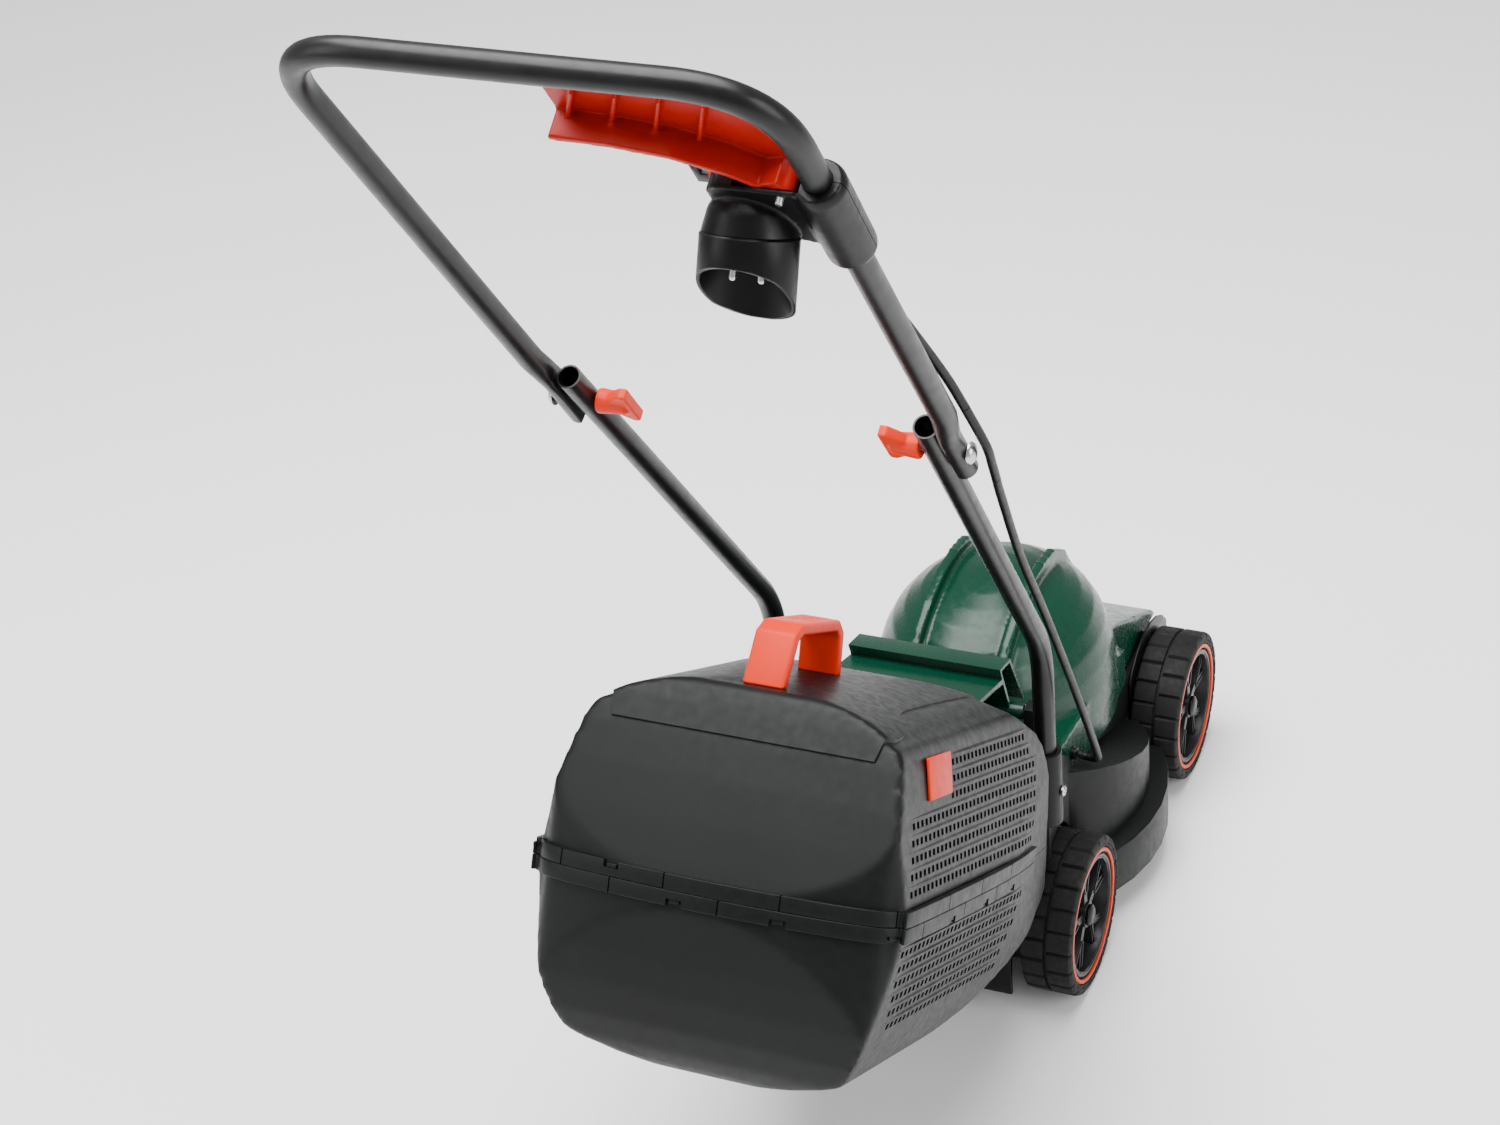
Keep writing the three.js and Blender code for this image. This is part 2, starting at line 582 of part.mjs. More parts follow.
const upperCable = new THREE.CatmullRomCurve3([
  V(140, 8, 334 - GAP), V(141, 9, 312), V(145, 17, 240), V(152, 20, 160), V(161, 18, 90), V(167, 13, 52)]);
add(handleFrame, "cable_upper", rod(upperCable.getSpacedPoints(16), CABLE_R, 8), cablePaint);

const lowerCable = new THREE.CatmullRomCurve3([
  V(168.8, -254.7, 683.6), V(166, -238, 658), V(158, -180, 570), V(152, -110, 470), V(149, -50, 375),
  V(146, 5, 285), V(139, 56, 212), V(130, 84, 183), V(119, 92, 176.5),
  V(GROMMET.x + 6.5, GROMMET.y, GROMMET.z)]);
add(chassis, "cable_lower", rod(lowerCable.getSpacedPoints(30), CABLE_R, 8), cablePaint);

// The short stretch that bends when the handle folds.
const flexCable = new THREE.CatmullRomCurve3([
  V(167.1, -306.8, 771.2), V(171.5, -290, 740), V(173, -280, 722), V(171, -268, 704), V(168.9, -255, 684.1)]);
add(chassis, "cable_flex", rod(flexCable.getSpacedPoints(12), CABLE_R, 8), cablePaint);

const grommetForm = turned("x", [[0, 101], [6.6, 101], [6.6, 106], [5, 109], [0, 109]], 12);
const grommet = moved(grommetForm, 0, GROMMET.y, GROMMET.z);
add(chassis, "cable_grommet", grommet, black);

// ---------------------------------------------------------------- grass box

// An outline moved inwards (or outwards, for a negative distance) by the same distance all round.
function inset(outline, distance) {
  const points = outline.map(([a, b]) => new THREE.Vector2(a, b));
  const inward = THREE.ShapeUtils.area(points) > 0 ? distance : -distance;
  return points.map((point, i) => {
    const before = points[(i + points.length - 1) % points.length];
    const after = points[(i + 1) % points.length];
    const normals = [point.clone().sub(before), after.clone().sub(point)].map(({ x, y }) =>
      new THREE.Vector2(-y, x).normalize());
    const bisector = normals[0].clone().add(normals[1]).normalize();
    const shift = inward / bisector.dot(normals[0]);
    return [point.x + bisector.x * shift, point.y + bisector.y * shift];
  });
}

const mirrorOutline = (half) => [...half, ...half.filter(([a]) => a > 0).reverse().map(([a, b]) => [-a, b])];

const BOX_SIDE = [
  [-132, 100], [-204, 231], [-219, 244], [-322, 282], [-400, 290], [-522, 289], [-552, 272],
  [-602, 141], [-602, 128], [-566, 10], [-500, -8], [-300, 22], [-237, 46]];
const BOX_SECTION = mirrorOutline([
  [0, -10], [50, -6], [104, 8], [120, 22], [135, 60], [148, 134], [148, 146], [129, 250], [113, 268],
  [92, 279], [55, 288], [0, 290]]);
const BOX_PLAN = mirrorOutline([
  [0, -602], [70, -598], [124, -588], [142, -574], [149, -552], [149, -330], [138, -200], [126, -100],
  [0, -100]]);

function boxForm(wall) {
  return prism("yz", inset(BOX_SIDE, wall), -200, 200)
    .intersect(prism("xz", inset(BOX_SECTION, wall), -700, 0))
    .intersect(prism("xy", inset(BOX_PLAN, wall), -100, 400));
}

function boxHalf(low, high, bandLow, bandHigh) {
  const mouth = block([-104, 104], [-90, -50], [160, 250]).rotate([THREE.MathUtils.radToDeg(BOX_TILT), 0, 0]);
  const band = boxForm(-4).intersect(block([-200, 200], [-700, -232], [bandLow, bandHigh]));
  return boxForm(0).intersect(block([-200, 200], [-700, 0], [low, high]))
    .add(band).subtract(boxForm(BOX_WALL)).subtract(mouth);
}
add(boxFrame, "box_upper", boxHalf(SEAM_W + GAP / 2, 400, SEAM_W + GAP / 2, SEAM_W + 12), charcoal);
add(boxFrame, "box_lower", boxHalf(-100, SEAM_W - GAP / 2, SEAM_W - 12, SEAM_W - GAP / 2), charcoal);

const carryHandle = prism("yz", [
  [-404, 290.5], [-408, 326], [-420, 336], [-500, 338], [-514, 331], [-530, 290.5],
  [-520, 290.5], [-506, 325], [-498, 329], [-424, 327], [-418, 322], [-414, 290.5]], -17, 17);
add(boxFrame, "carry_handle", carryHandle, orange);

const sidePlate = block([0, 2.5], [-26, 26], [-16, 16])
  .rotate([0, -10.4, 0])
  .translate([131.2 + GAP, -484, 240]);
add(boxFrame, "side_plate", sidePlate, orange);

export default mower;
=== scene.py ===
# The looks of a corded rotary lawn mower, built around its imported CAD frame. Metres, +Z up, +Y forward.
# Outlines are in millimetres in the CAD's own sub-frames: chassis, handle, box and wheel.
import json
import math

import bmesh
import bpy
from mathutils import Matrix, Quaternion, Vector


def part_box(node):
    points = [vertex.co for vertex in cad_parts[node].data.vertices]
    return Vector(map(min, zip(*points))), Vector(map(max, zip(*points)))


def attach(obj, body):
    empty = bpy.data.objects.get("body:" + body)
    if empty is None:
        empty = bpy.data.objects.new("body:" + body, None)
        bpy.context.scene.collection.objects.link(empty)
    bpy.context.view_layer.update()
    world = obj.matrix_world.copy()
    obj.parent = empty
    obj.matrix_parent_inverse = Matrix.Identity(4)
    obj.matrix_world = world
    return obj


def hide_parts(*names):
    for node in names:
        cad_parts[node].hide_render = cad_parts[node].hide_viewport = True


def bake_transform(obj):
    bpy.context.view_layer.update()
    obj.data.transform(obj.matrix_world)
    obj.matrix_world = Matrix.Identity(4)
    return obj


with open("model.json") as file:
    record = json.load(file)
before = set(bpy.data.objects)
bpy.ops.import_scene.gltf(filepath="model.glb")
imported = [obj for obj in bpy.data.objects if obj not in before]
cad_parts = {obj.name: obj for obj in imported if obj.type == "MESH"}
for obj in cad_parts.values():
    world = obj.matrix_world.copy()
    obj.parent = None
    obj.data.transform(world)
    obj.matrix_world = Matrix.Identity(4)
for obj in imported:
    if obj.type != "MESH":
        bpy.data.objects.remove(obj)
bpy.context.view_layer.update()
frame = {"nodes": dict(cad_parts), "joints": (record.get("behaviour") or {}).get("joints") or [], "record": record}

MM = 0.001
SIGN = {"right": 1, "left": -1}

# ---------------------------------------------------------------- sub-frames, worked out from the CAD


def placed(origin, turn_x=0.0):
    """Millimetres in a sub-frame to metres in the row frame."""
    return Matrix.Translation(origin) @ Matrix.Rotation(turn_x, 4, "X") @ Matrix.Scale(MM, 4)


def middle(node):
    low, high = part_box(node)
    return (low + high) / 2


def turned_to(side):
    """A half turn about Z for what stands on the left."""
    return Matrix.Rotation(0 if side == "right" else math.pi, 4, "Z")


def sided(sign, near, far):
    """Two X on one side of the middle, the lower one first."""
    return sorted((sign * near, sign * far))


JOINTS = {joint["name"]: joint for joint in frame["joints"]}
FOLD = Vector(JOINTS["handle_fold"]["pos_m"])
HANDLE_LEAN = math.atan2(JOINTS["bail_squeeze"]["axis"][2], JOINTS["bail_squeeze"]["axis"][1])
BOX_TILT = math.atan2(JOINTS["box_lift_off"]["axis"][2], -JOINTS["box_lift_off"]["axis"][1])
REAR_AXLE = middle("rear_axle")
FLAP_PIN = middle("flap_pin")

CHASSIS = placed((0, REAR_AXLE.y, 0))
HANDLE = placed((0, FOLD.y, FOLD.z), HANDLE_LEAN)
BOX = placed((0, REAR_AXLE.y, 0), -BOX_TILT)

# ---------------------------------------------------------------- camera

CAMERA_PLACE = (0.805, -1.9055, 1.8172)
CAMERA_AZIMUTH = 25.653
CAMERA_ELEVATION = 32.703
CAMERA_ROLL = -5.404
CAMERA_LENS = 72.64
SENSOR_WIDTH = 36


def make_camera():
    data = bpy.data.cameras.new("camera")
    data.lens = CAMERA_LENS
    data.sensor_width = SENSOR_WIDTH
    camera = bpy.data.objects.new("camera", data)
    azimuth, elevation = math.radians(CAMERA_AZIMUTH), math.radians(CAMERA_ELEVATION)
    back = Vector((
        math.sin(azimuth) * math.cos(elevation),
        -math.cos(azimuth) * math.cos(elevation),
        math.sin(elevation)))
    roll = Quaternion((0, 0, 1), math.radians(CAMERA_ROLL))
    camera.rotation_mode = "QUATERNION"
    camera.rotation_quaternion = (-back).to_track_quat("-Z", "Y") @ roll
    camera.location = CAMERA_PLACE
    bpy.context.scene.collection.objects.link(camera)
    bpy.context.scene.camera = camera


make_camera()

# ---------------------------------------------------------------- materials


class Nodes:
    """A material's node tree, with short ways to add and link."""

    def __init__(self, name):
        self.material = bpy.data.materials.new(name)
        self.material.use_nodes = True
        self.tree = self.material.node_tree
        self.shader = self.tree.nodes["Principled BSDF"]
        coordinates = self.add("ShaderNodeTexCoord")
        self.place = coordinates.outputs["Object"]

    def add(self, kind, **settings):
        node = self.tree.nodes.new(kind)
        for key, value in settings.items():
            if key in node.inputs:
                node.inputs[key].default_value = value
            else:
                setattr(node, key, value)
        return node

    def link(self, source, target):
        self.tree.links.new(source, target)

    def noise(self, scale, detail=3.0, roughness=0.55):
        node = self.add("ShaderNodeTexNoise", Scale=scale, Detail=detail, Roughness=roughness)
        self.link(self.place, node.inputs["Vector"])
        return node.outputs["Fac"]

    def ramp(self, factor, low, high, first, last):
        node = self.add("ShaderNodeMapRange")
        node.inputs["From Min"].default_value = low
        node.inputs["From Max"].default_value = high
        node.inputs["To Min"].default_value = first
        node.inputs["To Max"].default_value = last
        self.link(factor, node.inputs["Value"])
        return node.outputs["Result"]

    def mix(self, factor, first, last):
        node = self.add("ShaderNodeMix", data_type="RGBA")
        self.link(factor, node.inputs["Factor"])
        for socket, value in (("A", first), ("B", last)):
            colour = next(s for s in node.inputs if s.name == socket and s.type == "RGBA")
            if isinstance(value, tuple):
                colour.default_value = (*value, 1)
            else:
                self.link(value, colour)
        return next(s for s in node.outputs if s.type == "RGBA")

    def bump(self, height, strength, distance):
        node = self.add("ShaderNodeBump", Strength=strength, Distance=distance)
        self.link(height, node.inputs["Height"])
        before = self.shader.inputs["Normal"]
        if before.is_linked:
            self.link(before.links[0].from_socket, node.inputs["Normal"])
        self.link(node.outputs["Normal"], before)


def shaded(colour, factor):
    return tuple(channel * factor for channel in colour)


def moulded(name, colour, roughness, grain=2600, depth=0.00006, vary=0.12, wear=0.25, gloss=0.5):
    """Moulded plastic: a fine spark-eroded grain, slight shade changes and faint rubbing marks."""
    made = Nodes(name)
    broad = made.noise(9, 3)
    tone = made.mix(made.ramp(broad, 0.35, 0.65, 0, 1), shaded(colour, 1 - vary), shaded(colour, 1 + vary))
    scuffs = made.ramp(made.noise(60, 6, 0.7), 0.58, 0.74, 0, wear)
    tone = made.mix(scuffs, tone, tuple(channel * 0.9 + 0.006 for channel in colour))
    made.link(tone, made.shader.inputs["Base Color"])
    made.link(made.ramp(made.noise(140, 4), 0.3, 0.7, roughness - 0.06, roughness + 0.07),
              made.shader.inputs["Roughness"])
    made.shader.inputs["IOR"].default_value = 1.5
    made.shader.inputs["Specular IOR Level"].default_value = gloss
    made.bump(made.noise(grain, 2), 0.35, depth)
    made.bump(made.noise(22, 2), 0.12, 0.0006)
    return made.material


def rubber():
    """Tyre rubber: dull, with a dusty bloom in broad patches."""
    made = Nodes("rubber")
    dust = made.ramp(made.noise(38, 5, 0.65), 0.45, 0.75, 0, 0.5)
    tone = made.mix(dust, (0.0035, 0.0035, 0.0035), (0.009, 0.009, 0.0085))
    made.link(tone, made.shader.inputs["Base Color"])
    made.link(made.ramp(made.noise(180), 0.3, 0.7, 0.62, 0.8), made.shader.inputs["Roughness"])
    made.shader.inputs["Specular IOR Level"].default_value = 0.25
    made.bump(made.noise(900, 3), 0.5, 0.00012)
    return made.material


def powder_coat():
    """Satin black powder coat on steel tube: a fine orange peel, worn a little where it is held."""
    made = Nodes("powder_coat")
    worn = made.ramp(made.noise(30, 4), 0.4, 0.7, 0, 1)
    tone = made.mix(worn, (0.003, 0.003, 0.0032), (0.0055, 0.0055, 0.006))
    made.link(tone, made.shader.inputs["Base Color"])
    made.link(made.ramp(made.noise(90), 0.3, 0.7, 0.3, 0.42), made.shader.inputs["Roughness"])
    made.shader.inputs["Coat Weight"].default_value = 0.06
    made.shader.inputs["Coat Roughness"].default_value = 0.3
    made.shader.inputs["Specular IOR Level"].default_value = 0.28
    made.bump(made.noise(1300, 2), 0.3, 0.00006)
    return made.material


def metal(name, colour, roughness, stretch):
    """Metal with fine marks, drawn out along Z where the stretch is under 1."""
    made = Nodes(name)
    mapping = made.add("ShaderNodeMapping")
    mapping.inputs["Scale"].default_value = (1, 1, stretch)
    made.link(made.place, mapping.inputs["Vector"])
    made.place = mapping.outputs["Vector"]
    marks = made.noise(700, 4, 0.7)
    made.link(made.mix(marks, shaded(colour, 0.82), colour), made.shader.inputs["Base Color"])
    made.shader.inputs["Metallic"].default_value = 1.0
    made.link(made.ramp(marks, 0.3, 0.7, roughness - 0.08, roughness + 0.1), made.shader.inputs["Roughness"])
    made.bump(marks, 0.2, 0.00004)
    return made.material


CHARCOAL = moulded(
    "charcoal", (0.0044, 0.0050, 0.0049), 0.42, grain=1900, depth=0.00009, wear=0.1, gloss=0.17)
BLACK = moulded("black", (0.0022, 0.0022, 0.0024), 0.36, wear=0.08, gloss=0.2)
GREEN = moulded(
    "green", (0.0002, 0.030, 0.015), 0.26, grain=3000, depth=0.00002, vary=0.05, wear=0.0, gloss=0.3)
ORANGE = moulded("orange", (0.62, 0.018, 0.0003), 0.42, depth=0.00004, vary=0.05, wear=0.03, gloss=0.16)
RED = moulded("red", (0.38, 0.005, 0.0003), 0.36, depth=0.00003, vary=0.05, wear=0.03, gloss=0.16)
RING = moulded("ring", (0.50, 0.034, 0.010), 0.4, depth=0.00003, vary=0.06, wear=0.1, gloss=0.2)
WHEEL = moulded("wheel", (0.009, 0.0095, 0.010), 0.34, depth=0.00004, wear=0.08, gloss=0.28)
CABLE = moulded("cable_sheath", (0.002, 0.002, 0.002), 0.42, grain=1500, wear=0.05, gloss=0.22)
TYRE = rubber()
PAINT = powder_coat()
STEEL = metal("steel", (0.62, 0.62, 0.64), 0.28, 0.15)
CAST = metal("cast_aluminium", (0.36, 0.37, 0.38), 0.5, 1.0)

SLOTS = {
    "charcoal_plastic": CHARCOAL, "black_plastic": BLACK, "green_plastic": GREEN, "orange_plastic": ORANGE,
    "red_plastic": RED, "ring_plastic": RING, "wheel_plastic": WHEEL, "tyre": TYRE, "tube_paint": PAINT,
    "steel": STEEL, "motor_case": CAST, "cable": CABLE,
}
SLOT_OF = {part["node"]: part["material_slot"] for part in frame["record"]["subparts"]}

# ---------------------------------------------------------------- mesh helpers

BODY_OF = {}
for body, members in frame["record"]["behaviour"]["bodies"].items():
    for member in members:
        BODY_OF[member] = body


def piece(name, built, body, slot, smooth_angle=35, stands_for=()):
    """A bmesh as a finished piece: shaded, with its slot's material, riding on its body."""
    mesh = bpy.data.meshes.new(name)
    bmesh.ops.recalc_face_normals(built, faces=built.faces)
    built.to_mesh(mesh)
    built.free()
    made = bpy.data.objects.new(name, mesh)
    bpy.context.scene.collection.objects.link(made)
    finish_piece(made, body, slot, smooth_angle)
    if stands_for:
        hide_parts(*stands_for)
    return made


def finish_piece(made, body, slot, smooth_angle=35):
    made.data.materials.clear()
    made.data.materials.append(SLOTS[slot])
    made.data.polygons.foreach_set("use_smooth", [True] * len(made.data.polygons))
    made.data.set_sharp_from_angle(angle=math.radians(smooth_angle))
    if body:
        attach(made, body)


def bevelled(made, width, segments=2, angle=35):
    modifier = made.modifiers.new("edges", "BEVEL")
    modifier.width = width * MM
    modifier.segments = segments
    modifier.limit_method = "ANGLE"
    modifier.angle_limit = math.radians(angle)
    modifier.use_clamp_overlap = True
    return made


def copied(node):
    """The CAD node's own mesh, welded, with its flat faces whole."""
    built = bmesh.new()
    built.from_mesh(frame["nodes"][node].data)
    bmesh.ops.remove_doubles(built, verts=built.verts, dist=2e-6)
    bmesh.ops.dissolve_limit(built, angle_limit=math.radians(0.6), verts=built.verts, edges=built.edges)
    return built


def applied(made):
    """Bakes a piece's modifiers into its mesh."""
    depsgraph = bpy.context.evaluated_depsgraph_get()
    mesh = bpy.data.meshes.new_from_object(made.evaluated_get(depsgraph))
    made.modifiers.clear()
    made.data = mesh
    return made


def refined(node, width=0.5, segments=2, smooth_angle=35):
    """A CAD node with its edges broken and its round faces smooth."""
    made = piece(node + "_shell", copied(node), BODY_OF[node], SLOT_OF[node], smooth_angle, (node,))
    if width:
        bevelled(made, width, segments, smooth_angle)
        applied(made)
        finish_piece(made, None, SLOT_OF[node], smooth_angle)
    return made


def round_bar(name, points, radius, sides, capped):
    """A round section along a line through points in metres, without a material."""
    curve = bpy.data.curves.new(name, "CURVE")
    curve.dimensions = "3D"
    curve.bevel_depth = radius
    curve.bevel_resolution = sides // 4
    curve.use_fill_caps = capped
    spline = curve.splines.new("POLY")
    spline.points.add(len(points) - 1)
    for point, place in zip(spline.points, points):
        point.co = (*place, 1)
    line = bpy.data.objects.new(name + "_line", curve)
    bpy.context.scene.collection.objects.link(line)
    depsgraph = bpy.context.evaluated_depsgraph_get()
    mesh = bpy.data.meshes.new_from_object(line.evaluated_get(depsgraph))
    bpy.data.objects.remove(line)
    made = bpy.data.objects.new(name, mesh)
    bpy.context.scene.collection.objects.link(made)
    return made


def swept(name, points, radius, sides=20, body=None, slot="cable", stands_for=()):
    """A solid round section swept along a smooth line through points in metres."""
    made = round_bar(name, points, radius, sides, True)
    finish_piece(made, body, slot, 50)
    if stands_for:
        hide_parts(*stands_for)
    return made


def catmull(points, steps):
    """A smooth line through the points, with this many steps between each two."""
    ends = [points[0] * 2 - points[1], *points, points[-1] * 2 - points[-2]]
    line = []
    for before, first, last, after in zip(ends, ends[1:], ends[2:], ends[3:]):
        for step in range(steps):
            t = step / steps
            line.append(0.5 * (
                2 * first + (last - before) * t + (2 * before - 5 * first + 4 * last - after) * t * t
                + (3 * first - before - 3 * last + after) * t ** 3))
    return [*line, points[-1]]


def add_block(built, transform, x, y, z):
    """A block between two x, two y and two z, in the transform's millimetres."""
    size = Vector((x[1] - x[0], y[1] - y[0], z[1] - z[0]))
    centre = Vector((x[0] + x[1], y[0] + y[1], z[0] + z[1])) / 2
    matrix = transform @ Matrix.Translation(centre) @ Matrix.Diagonal((*size, 1))
    bmesh.ops.create_cube(built, size=1, matrix=matrix)


def add_prism(built, transform, outline, low, high, plane="yz"):
    """An outline pushed from low to high along the third axis."""
    lift = {
        "yz": lambda a, b, c: Vector((c, a, b)),
        "xz": lambda a, b, c: Vector((a, c, b)),
        "xy": lambda a, b, c: Vector((a, b, c)),
    }[plane]
    rings = [[built.verts.new(transform @ lift(a, b, c)) for a, b in outline] for c in (low, high)]
    count = len(outline)
    built.faces.new(rings[0])
    built.faces.new(list(reversed(rings[1])))
    for i in range(count):
        built.faces.new((rings[0][i], rings[1][i], rings[1][(i + 1) % count], rings[0][(i + 1) % count]))


def join_rings(built, pairs, span):
    """Faces between neighbouring rings of vertices, over the first span edges of each."""
    for this, following in pairs:
        for j in range(span):
            k = (j + 1) % len(this)
            built.faces.new((this[j], this[k], following[k], following[j]))


def plug(radius, low, high):
    """The profile of a solid cylinder."""
    return [(0, low), (radius, low), (radius, high), (0, high)]


def add_lathe(built, transform, profile, segments, axis="x", closed=False):
    """A profile of (radius, along) points turned about an axis; closed joins its last point to its first."""
    rings = []
    for i in range(segments):
        turn = 2 * math.pi * i / segments
        c, s = math.cos(turn), math.sin(turn)
        if axis == "x":
            rings.append([built.verts.new(transform @ Vector((h, r * c, r * s))) for r, h in profile])
        else:
            rings.append([built.verts.new(transform @ Vector((r * c, r * s, h))) for r, h in profile])
    span = len(profile) if closed else len(profile) - 1
    join_rings(built, zip(rings, rings[1:] + rings[:1]), span)
    bmesh.ops.remove_doubles(built, verts=built.verts, dist=1e-6)


def boolean(made, tool, operation):
    """Applies a boolean with a tool object, and removes the tool."""
    modifier = made.modifiers.new("boolean", "BOOLEAN")
    modifier.operation = operation
    modifier.solver = "MANIFOLD"
    modifier.object = tool
    applied(made)
    bpy.data.objects.remove(tool)
    return made


def common(made, tool):
    """What a piece and a tool share."""
    return boolean(made, tool, "INTERSECT")


def cut(made, cutter):
    """Cuts the cutter's solids out of a piece."""
    mesh = bpy.data.meshes.new("cutter")
    bmesh.ops.recalc_face_normals(cutter, faces=cutter.faces)
    cutter.to_mesh(mesh)
    cutter.free()
    tool = bpy.data.objects.new("cutter", mesh)
    bpy.context.scene.collection.objects.link(tool)
    return boolean(made, tool, "DIFFERENCE")


def cut_block(made, transform, x, y, z):
    block = bmesh.new()
    add_block(block, transform, x, y, z)
    cut(made, block)


def cut_lathe(made, transform, profile, segments, axis="x"):
    round_cutter = bmesh.new()
    add_lathe(round_cutter, transform, profile, segments, axis)
    cut(made, round_cutter)


def from_object(made):
    """A piece's mesh as a cutter, and the piece removed."""
    built = bmesh.new()
    built.from_mesh(made.data)
    bpy.data.objects.remove(made)
    return built


def softened(made, voxel, rounds):
    """Blends a form's parts into one skin and rounds its edges."""
    remesh = made.modifiers.new("skin", "REMESH")
    remesh.mode = "VOXEL"
    remesh.voxel_size = voxel * MM
    smooth = made.modifiers.new("soften", "SMOOTH")
    smooth.factor = 0.5
    smooth.iterations = rounds
    return applied(made)

# ---------------------------------------------------------------- wheels

WHEEL_R = 73
TREAD_BLOCKS = 22
BLOCK_STEPS = 9
GROOVE_DEPTH = 2.6
SPOKES = 5
SPOKE_FACE_X = (143.5, 145.2)
# radius, X, and the tread row whose grooves reach it
TYRE_SECTION = [
    (57.2, 108, None), (64, 105.6, None), (69.5, 105.2, "inner"), (72.2, 106.8, "inner"),
    (73, 109.5, "inner"), (73, 126.6, "inner"), (70.2, 127.2, None), (70.2, 129.4, None), (73, 130, "outer"),
    (73, 147.5, "outer"), (72.2, 150.2, "outer"), (69.5, 151.8, "outer"), (66.6, 152, "outer"),
    (66.2, 151.4, None), (63, 151.6, None), (62.5, 150.8, None), (62.4, 149.2, None), (57.2, 149, None),
]
ACCENT_SECTION = [(58.1, 149.4), (61.9, 149.4), (61.9, 150.6), (61.3, 151.3), (58.7, 151.3), (58.1, 150.6)]
SPOKE_RING_SECTION = [(52.5, 148.5), (56.4, 148.5), (55.6, 150), (53.3, 150)]


def wheel_frame(end, side):
    return Matrix.Translation(middle(end + "_axle")) @ turned_to(side) @ Matrix.Scale(MM, 4)


def tyre(end, side):
    built = bmesh.new()
    at = wheel_frame(end, side)
    count = TREAD_BLOCKS * BLOCK_STEPS
    shift = {"inner": 0, "outer": BLOCK_STEPS // 2}
    rings = []
    for i in range(count):
        turn = 2 * math.pi * i / count
        ring = []
        for r, x, row in TYRE_SECTION:
            if row and (i + shift[row]) % BLOCK_STEPS == 0:
                r -= GROOVE_DEPTH
            ring.append(built.verts.new(at @ Vector((x, r * math.cos(turn), r * math.sin(turn)))))
        rings.append(ring)
    join_rings(built, zip(rings, rings[1:] + rings[:1]), len(TYRE_SECTION))
    name = f"tyre_{end}_{side}"
    piece("tread_" + name, built, BODY_OF[name], "tyre", 28, (name,))


def accent_ring(end, side):
    built = bmesh.new()
    add_lathe(built, wheel_frame(end, side), ACCENT_SECTION, 96, closed=True)
    name = f"accent_ring_{end}_{side}"
    piece("ring_" + name, built, BODY_OF[name], "ring_plastic", 35, (name,))


def spoke_ridges(end, side):
    """A raised line down each arm of the double spokes, and the ring they meet."""
    built = bmesh.new()
    at = wheel_frame(end, side)
    for i in range(SPOKES):
        arm = at @ Matrix.Rotation(math.radians(360 / SPOKES * i), 4, "X")
        for lean in (-1, 1):
            line = [(lean * 1.0, 24), (lean * 2.6, 24), (lean * 12.6, 49.5), (lean * 10.8, 50)]
            add_prism(built, arm, line, *SPOKE_FACE_X)
    add_lathe(built, at, SPOKE_RING_SECTION, 72, closed=True)
    made = piece(f"rim_ridges_{end}_{side}", built, BODY_OF[f"rim_{end}_{side}"], "wheel_plastic", 35)
    bevelled(made, 0.35)


for end in ("rear", "front"):
    for side in ("right", "left"):
        tyre(end, side)
        accent_ring(end, side)
        spoke_ridges(end, side)
        refined(f"rim_{end}_{side}", 0.9, 3)
        refined(f"wheel_cap_{end}_{side}", 0.5, 3, 40)
    refined(end + "_axle", 0.6)

# ---------------------------------------------------------------- deck, motor and blade

refined("deck_housing", 1.0, 3, 30)
refined("rear_shield", 0.5)
refined("wheel_arch_right", 0.4)
refined("wheel_arch_left", 0.4)
refined("motor_body", 1.5, 3, 40)
for name in ("motor_shaft", "blade", "blade_bolt", "cooling_fan", "flap_pin", "lever_pin"):
    refined(name, 0.4)

# ---------------------------------------------------------------- hood

HOOD_PROFILE = [
    (111, 146), (111, 178), (109.5, 198), (106, 218), (100, 237), (91, 254), (79, 268), (64, 280), (47, 288),
    (30, 294.5), (14, 298), (0, 299)]
HOOD_Y = 186
HOOD_STRETCH = 1.18
HOOD_WALL = 3
HOOD_VOXEL = 2.0
HOLLOW_VOXEL = 3.0
NOSE_HALF_WIDTH = 96
SKIRT_HALF_WIDTH = 104
RIDGE_X = (37, 46)
WHEELBASE = middle("front_axle").y / MM - REAR_AXLE.y / MM
WELL_X = 102.5
WELL_R = 78
FLAP_SWEEP_X = 98
FLAP_SWEEP_R = 45.5
RIDGE = [
    (62, 200), (66, 238), (78, 260), (100, 279), (130, 293), (165, 302), (200, 304), (232, 299),
    (262, 280), (290, 240), (290, 200)]


def mirrored(outline):
    return [(-a, b) for a, b in outline]


def hood_form(inset, voxel):
    """The hood's outer form moved in by the inset, blended into one skin."""
    built = bmesh.new()
    dome = CHASSIS @ Matrix.Translation((0, HOOD_Y, 0)) @ Matrix.Diagonal((1, HOOD_STRETCH, 1, 1))
    profile = [(max(r - inset, 0), z - inset) for r, z in HOOD_PROFILE]
    add_lathe(built, dome, [(0, HOOD_PROFILE[0][1] - inset), *profile], 96, axis="z")
    add_prism(built, CHASSIS, [
        (200, 142 - inset), (396 - inset, 110 - inset), (396 - inset, 126 - inset), (372, 150 - inset),
        (318, 178 - inset), (200, 236 - inset)], -NOSE_HALF_WIDTH + inset, NOSE_HALF_WIDTH - inset)
    add_prism(built, CHASSIS, [
        (60 + inset, 142 - inset), (256 - inset, 142 - inset), (256 - inset, 182 - inset), (230, 190 - inset),
        (110, 200 - inset), (60 + inset, 205 - inset)], -SKIRT_HALF_WIDTH + inset, SKIRT_HALF_WIDTH - inset)
    if inset == 0:
        for sign in (-1, 1):
            add_prism(built, CHASSIS, RIDGE, *sided(sign, *RIDGE_X))
    return softened(piece("hood_form", built, None, "green_plastic", 60), voxel, 4)


